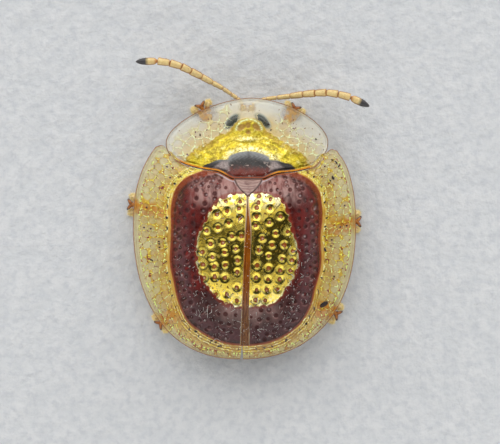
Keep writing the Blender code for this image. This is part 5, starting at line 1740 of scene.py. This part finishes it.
def legPieces(name):
    hip, knee, ankle, tip = (Vector((*p, 0.0)) for p in legs[name])
    hip.z, ankle.z, tip.z = legs["coxaZ"], legs["ankleZ"], legs["soleZ"] + 0.1
    knee.z = legs["knees"][legRow(name)]
    tibia = (ankle - knee).normalized()
    way = (tip - ankle)
    way.z = 0.0
    length = way.length
    way.normalize()
    across = Vector((-way.y, way.x, 0.0))
    yaw = math.atan2(way.y, way.x)
    turn = Matrix.Rotation(yaw, 3, "Z")
    shapes = [ballShape(lifted(hip, 0.06), (0.34, 0.34, 0.29))]
    femur = (hip.lerp(knee, 0.04), lifted(hip.lerp(knee, 0.35), 0.03), lifted(hip.lerp(knee, 0.7), 0.03),
             knee)
    shapes.append(limbShape(femur, (0, 0.12, 0.45, 0.75, 1), (0.17, 0.25, 0.31, 0.27, 0.17), 22, 0.8))
    shapes.append(ballShape(knee, (0.18, 0.18, 0.17)))
    shin = (knee, lifted(knee.lerp(ankle, 0.35), 0.02), knee.lerp(ankle, 0.7), ankle + tibia * 0.02)
    shapes.append(limbShape(shin, (0, 0.2, 0.6, 0.9, 1), (0.14, 0.16, 0.19, 0.24, 0.21), 20, 0.85))
    for side in (-1.0, 1.0):
        spur = [ankle - tibia * 0.05 + across * 0.13 * side, ankle + tibia * 0.16 + across * 0.2 * side]
        shapes.append(tubeShape(spur, [0.05, 0.026], 8))
    base = Vector((ankle.x, ankle.y, legs["soleZ"]))
    lobes, soles = [], []
    for share, half, reach in ((0.2, 0.17, 0.16), (0.42, 0.23, 0.17)):
        centre = lifted(base + way * length * share, 0.02)
        for side in (-1.0, 1.0):
            lobes.append(ballShape(centre + across * half * 0.45 * side - way * 0.02,
                                   (reach, half * 0.62, 0.15), turn, 24, 16))
        lobes.append(ballShape(centre - way * 0.1, (0.14, 0.12, 0.13), turn, 24, 16))
    bilobe = base + way * length * 0.72
    for side in (-1.0, 1.0):
        lobe = [bilobe + way * far + across * out * side for far,
                out in ((0.0, 0.04), (0.12, 0.24), (0.24, 0.34), (0.35, 0.37))]
        lobes.append(limbShape(lobe, (0, 0.4, 0.8, 1), (0.08, 0.088, 0.085, 0.05), 16, 0.7))
        soles.append((bilobe + way * 0.23 + across * 0.345 * side,
                      Matrix.Rotation(yaw + 0.35 * side, 3, "Z")))
    clawJoint = (lifted(bilobe - way * 0.34, 0.03), lifted(bilobe + way * 0.12, 0.12), tip)
    lobes.append(limbShape(clawJoint, (0, 0.5, 0.85, 1), (0.075, 0.08, 0.115, 0.09), 14))
    shapes += lobes
    for shape in shapes:
        for vert in shape.verts:
            vert.co.z = max(vert.co.z, 0.0)
    leg = fusePiece("leg" + name, shapes, legs["voxel"], legs["soften"], legMaterial)
    spots = pointsOf(leg)
    beyond = (spots - np.array(ankle)) @ np.array(way)
    pad = np.zeros(len(beyond))
    for centre, splay in soles:
        heart = np.array(centre + splay @ Vector((0.1, 0.0, 0.0)))[:2]
        pad = np.maximum(pad, softStep(0.3, 0.16, np.hypot(*(spots[:, :2] - heart).T)))
    setValues(leg.data, {"foot": softStep(-0.1, 0.15, beyond), "pad": pad})
    claws, clawTips = [], []
    for side in (-1.0, 1.0):
        reach, spread = legs["clawReach"], legs["clawSpread"] * side
        hook, tooth = ([tip + way * reach * far + across * spread * out + Vector((0, 0, rise)) for far, out,
                        rise in legs[line]] for line in ("hook", "tooth"))
        hook.insert(0, tip - way * 0.1 + across * 0.02 * side)
        tooth.insert(0, hook[1])
        claws.append(limbShape(hook, (0, 0.25, 0.55, 0.8, 1), (0.072, 0.086, 0.068, 0.048, 0.014), 12))
        claws.append(limbShape(tooth, (0, 0.5, 1), (0.04, 0.03, 0.01), 10, steps=4))
        clawTips.append(hook[-1])
    hairs, roots, thin = [], [], legs["hairWidth"]
    for pad, (centre, splay) in enumerate(soles):
        for _ in range(legs["fringe"]):
            a = rng.uniform(-1.9, 1.9)
            out = splay @ Vector((math.cos(a), math.sin(a), 0.0))
            edge = splay @ Vector((0.14 * math.cos(a), 0.08 * math.sin(a), 0.0))
            depth = rng.uniform(0.7, 1.0)
            place, aim = lifted(centre + edge * depth, -0.04), lifted(out, rng.uniform(-0.5, 0.12))
            hairs.append((place, aim, rng.uniform(0, fullTurn),
                          (thin, thin, rng.uniform(*legs["fringeLength"]))))
            roots.append((0.25 + 0.5 * pad + 0.11 * a, depth - 0.35))
    feet = mergePiece("claws" + name, claws, clawMaterial)
    ends = pointsOf(feet)
    dark = np.max([softStep(0.25, 0.15, np.linalg.norm(ends - np.array(t), axis=1)) for t in clawTips],
                  axis=0)
    setValues(feet.data, {"dark": dark, "edge": softStep(0.85, 0.5, steepness(feet))})
    return leg, feet, hairs, roots


legNames = [a + b for a in ("Front", "Mid", "Hind") for b in ("Left", "Right")]
legSkins, clawPieces, fringes = {}, {}, {}
for legName in legNames:
    legSkins[legName], clawPieces[legName], hairs, roots = legPieces(legName)
    fringes[legName] = bakePieces("fringe" + legName, *zip(*hairs), sliver, hairMaterial, roots, uneven=0.2)
print("legs made")


# lint and specks lying on the shells

lint = {
    "fibres": 380, "seed": 5, "field": ((-3.2, 3.2), (0.0, 6.0)),
    "width": (0.008, 0.016), "threadWidth": 0.014,
    # longer threads, as lines of places on the finished beetle
    "threads": (((1.67, 4.42), (1.68, 4.95)), ((2.1, 4.6), (2.02, 4.75), (2.08, 4.92)), ((-2.2, 4.3),
                (-2.24, 4.12), (-2.08, 4.05)), ((-0.75, 5.62), (-0.6, 5.5), (-0.9, 5.48)), ((1.45, 6.05),
                (1.28, 5.93), (1.1, 6.02)), ((-2.0, 3.2), (-2.15, 3.45)), ((2.05, 3.05), (2.0, 3.4)),
                ((-2.35, 1.75), (-2.55, 1.95))),
}

# grains of dirt on the shells: x, y, length, width, turn
grit = {
    "grains": ((-3.63, 4.37, 0.24, 0.115, -0.77), (-2.82, 5.25, 0.06, 0.06, 0.0),
               (2.22, 5.6, 0.08, 0.05, 0.6), (1.5, 6.02, 0.06, 0.04, 0.0), (1.3, 6.08, 0.05, 0.04, 0.0),
               (-4.02, -2.24, 0.07, 0.03, 0.9), (-4.2, -2.12, 0.1, 0.03, 0.2),
               (-4.32, -1.96, 0.09, 0.03, -0.9), (-4.05, -1.42, 0.1, 0.06, 0.4),
               (-3.92, -1.3, 0.06, 0.03, 1.2), (2.03, -3.38, 0.06, 0.03, 0.5),
               (-1.1, -3.86, 0.06, 0.04, 0.3), (-3.27, -3.19, 0.05, 0.03, 0.2),
               (-1.2, -3.6, 0.03, 0.03, 0.0), (3.9, 1.6, 0.05, 0.03, 0.3), (4.25, 2.35, 0.08, 0.03, 0.9),
               (-4.1, 3.1, 0.05, 0.03, 0.4)),
}


def shellPoint(x, y):
    # a place and its outward direction on the top of the finished wing covers
    step = 0.02
    flat = x - float(leanShift(np.array(x), np.array(y)))
    at = lambda a, b: float(shellHeight(np.array(a), np.array(b)))
    if y < float(shieldRearY(np.array(flat))) and y > float(shieldFrontY(np.array(flat))):
        at = lambda a, b: float(shieldHeight(np.array(a), np.array(b)))
    z = at(flat, y)
    slope = ((at(flat + step, y) - z) / step, (at(flat, y + step) - z) / step)
    return Vector((x, y, z)), Vector((-slope[0], -slope[1], 1.0)).normalized()


def lintPieces():
    fibres = []
    while len(fibres) < lint["fibres"]:
        x, y = (rng.uniform(*reach) for reach in lint["field"])
        rear = y > 3.6 or abs(x) > 2.0
        if discGauge(np.array(x), np.array(y)) > 0.97 or rng.uniform() > (0.9 if rear and y > 1.6
                                                                          else 0.06):
            continue
        place, out = shellPoint(x, y)
        side = out.cross(Vector((math.cos(rng.uniform(0, fullTurn)), math.sin(rng.uniform(0, fullTurn)),
                                 0.1)))
        aim, roll = side.normalized() + out * rng.uniform(0.02, 0.12), rng.uniform(0, fullTurn)
        thick = rng.uniform(*lint["width"])
        fibres.append((place + out * 0.006, aim, roll, (thick, thick, 0.03 + 0.22 * rng.uniform() ** 2.5)))
    thick = lint["threadWidth"]
    for knots in lint["threads"]:
        path, _ = smoothPath(knots, 5)
        for a, b in zip(path[:-1], path[1:]):
            place, out = shellPoint(*a)
            along = shellPoint(*b)[0] - place
            fibres.append((place + out * 0.012, along, 0.0, (thick, thick, along.length * 1.25)))
    # unwrapped round the crown: the side that a fibre lies on, and how far down the shell
    out = np.array([place[:] for place, *_ in fibres]) - (0.0, beetle["discY"],
                                                          beetle["rimZ"] + beetle["rise"])
    roots = np.column_stack([np.arctan2(out[:, 0], out[:, 1]) / 6.6 + 0.5,
                             np.linalg.norm(out, axis=1) / 7.0 + 0.02])
    return bakePieces("lintFibres", *zip(*fibres), sliver, dustMaterial, roots, uneven=0.2,
                      seed=lint["seed"])


def gritPieces():
    grains = []
    for x, y, long, wide, turn in grit["grains"]:
        place, out = shellPoint(x, y)
        grains.append((place + out * 0.02, out, turn, (long, wide, 0.05)))
    return bakePieces("shellGrit", *zip(*grains), pebble, gritMaterial)


lintFibres = lintPieces()
shellGrit = gritPieces()
for helper in (bead, tipBead, sliver, pebble):
    bpy.data.objects.remove(helper, do_unlink=True)
print("lint made")


# what each piece rides on and stands for

def fitPiece(piece, slotName, *nodes):
    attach(piece, "root")
    if nodes:
        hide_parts(*nodes)


fitPiece(wingLeft, "maroon_shell", "elytron_left")
fitPiece(wingRight, "maroon_shell", "elytron_right")
fitPiece(scutellumPlate, "maroon_shell", "scutellum")
fitPiece(headShield, "amber_shield", "pronotum")
fitPiece(bodySkin, "brown_body", "thorax", "abdomen")
fitPiece(headCapsule, "tan_limb", "head")
fitPiece(mandibles, "tan_limb")
fitPiece(mouthPalps, "tan_limb")
fitPiece(eyeLeft, "dark_eye", "eye_left")
fitPiece(eyeRight, "dark_eye", "eye_right")
fitPiece(feelerLeft, "tan_limb", "antenna_left")
fitPiece(feelerRight, "tan_limb", "antenna_right")
for legName in legNames:
    end = "left" if legName.endswith("Left") else "right"
    node = "leg_" + legRow(legName).lower() + "_" + end
    fitPiece(legSkins[legName], "tan_limb", node)
    fitPiece(clawPieces[legName], "tan_limb")
    fitPiece(fringes[legName], "tan_limb")
fitPiece(lintFibres, "maroon_shell")
fitPiece(shellGrit, "maroon_shell")

print("pieces fitted")
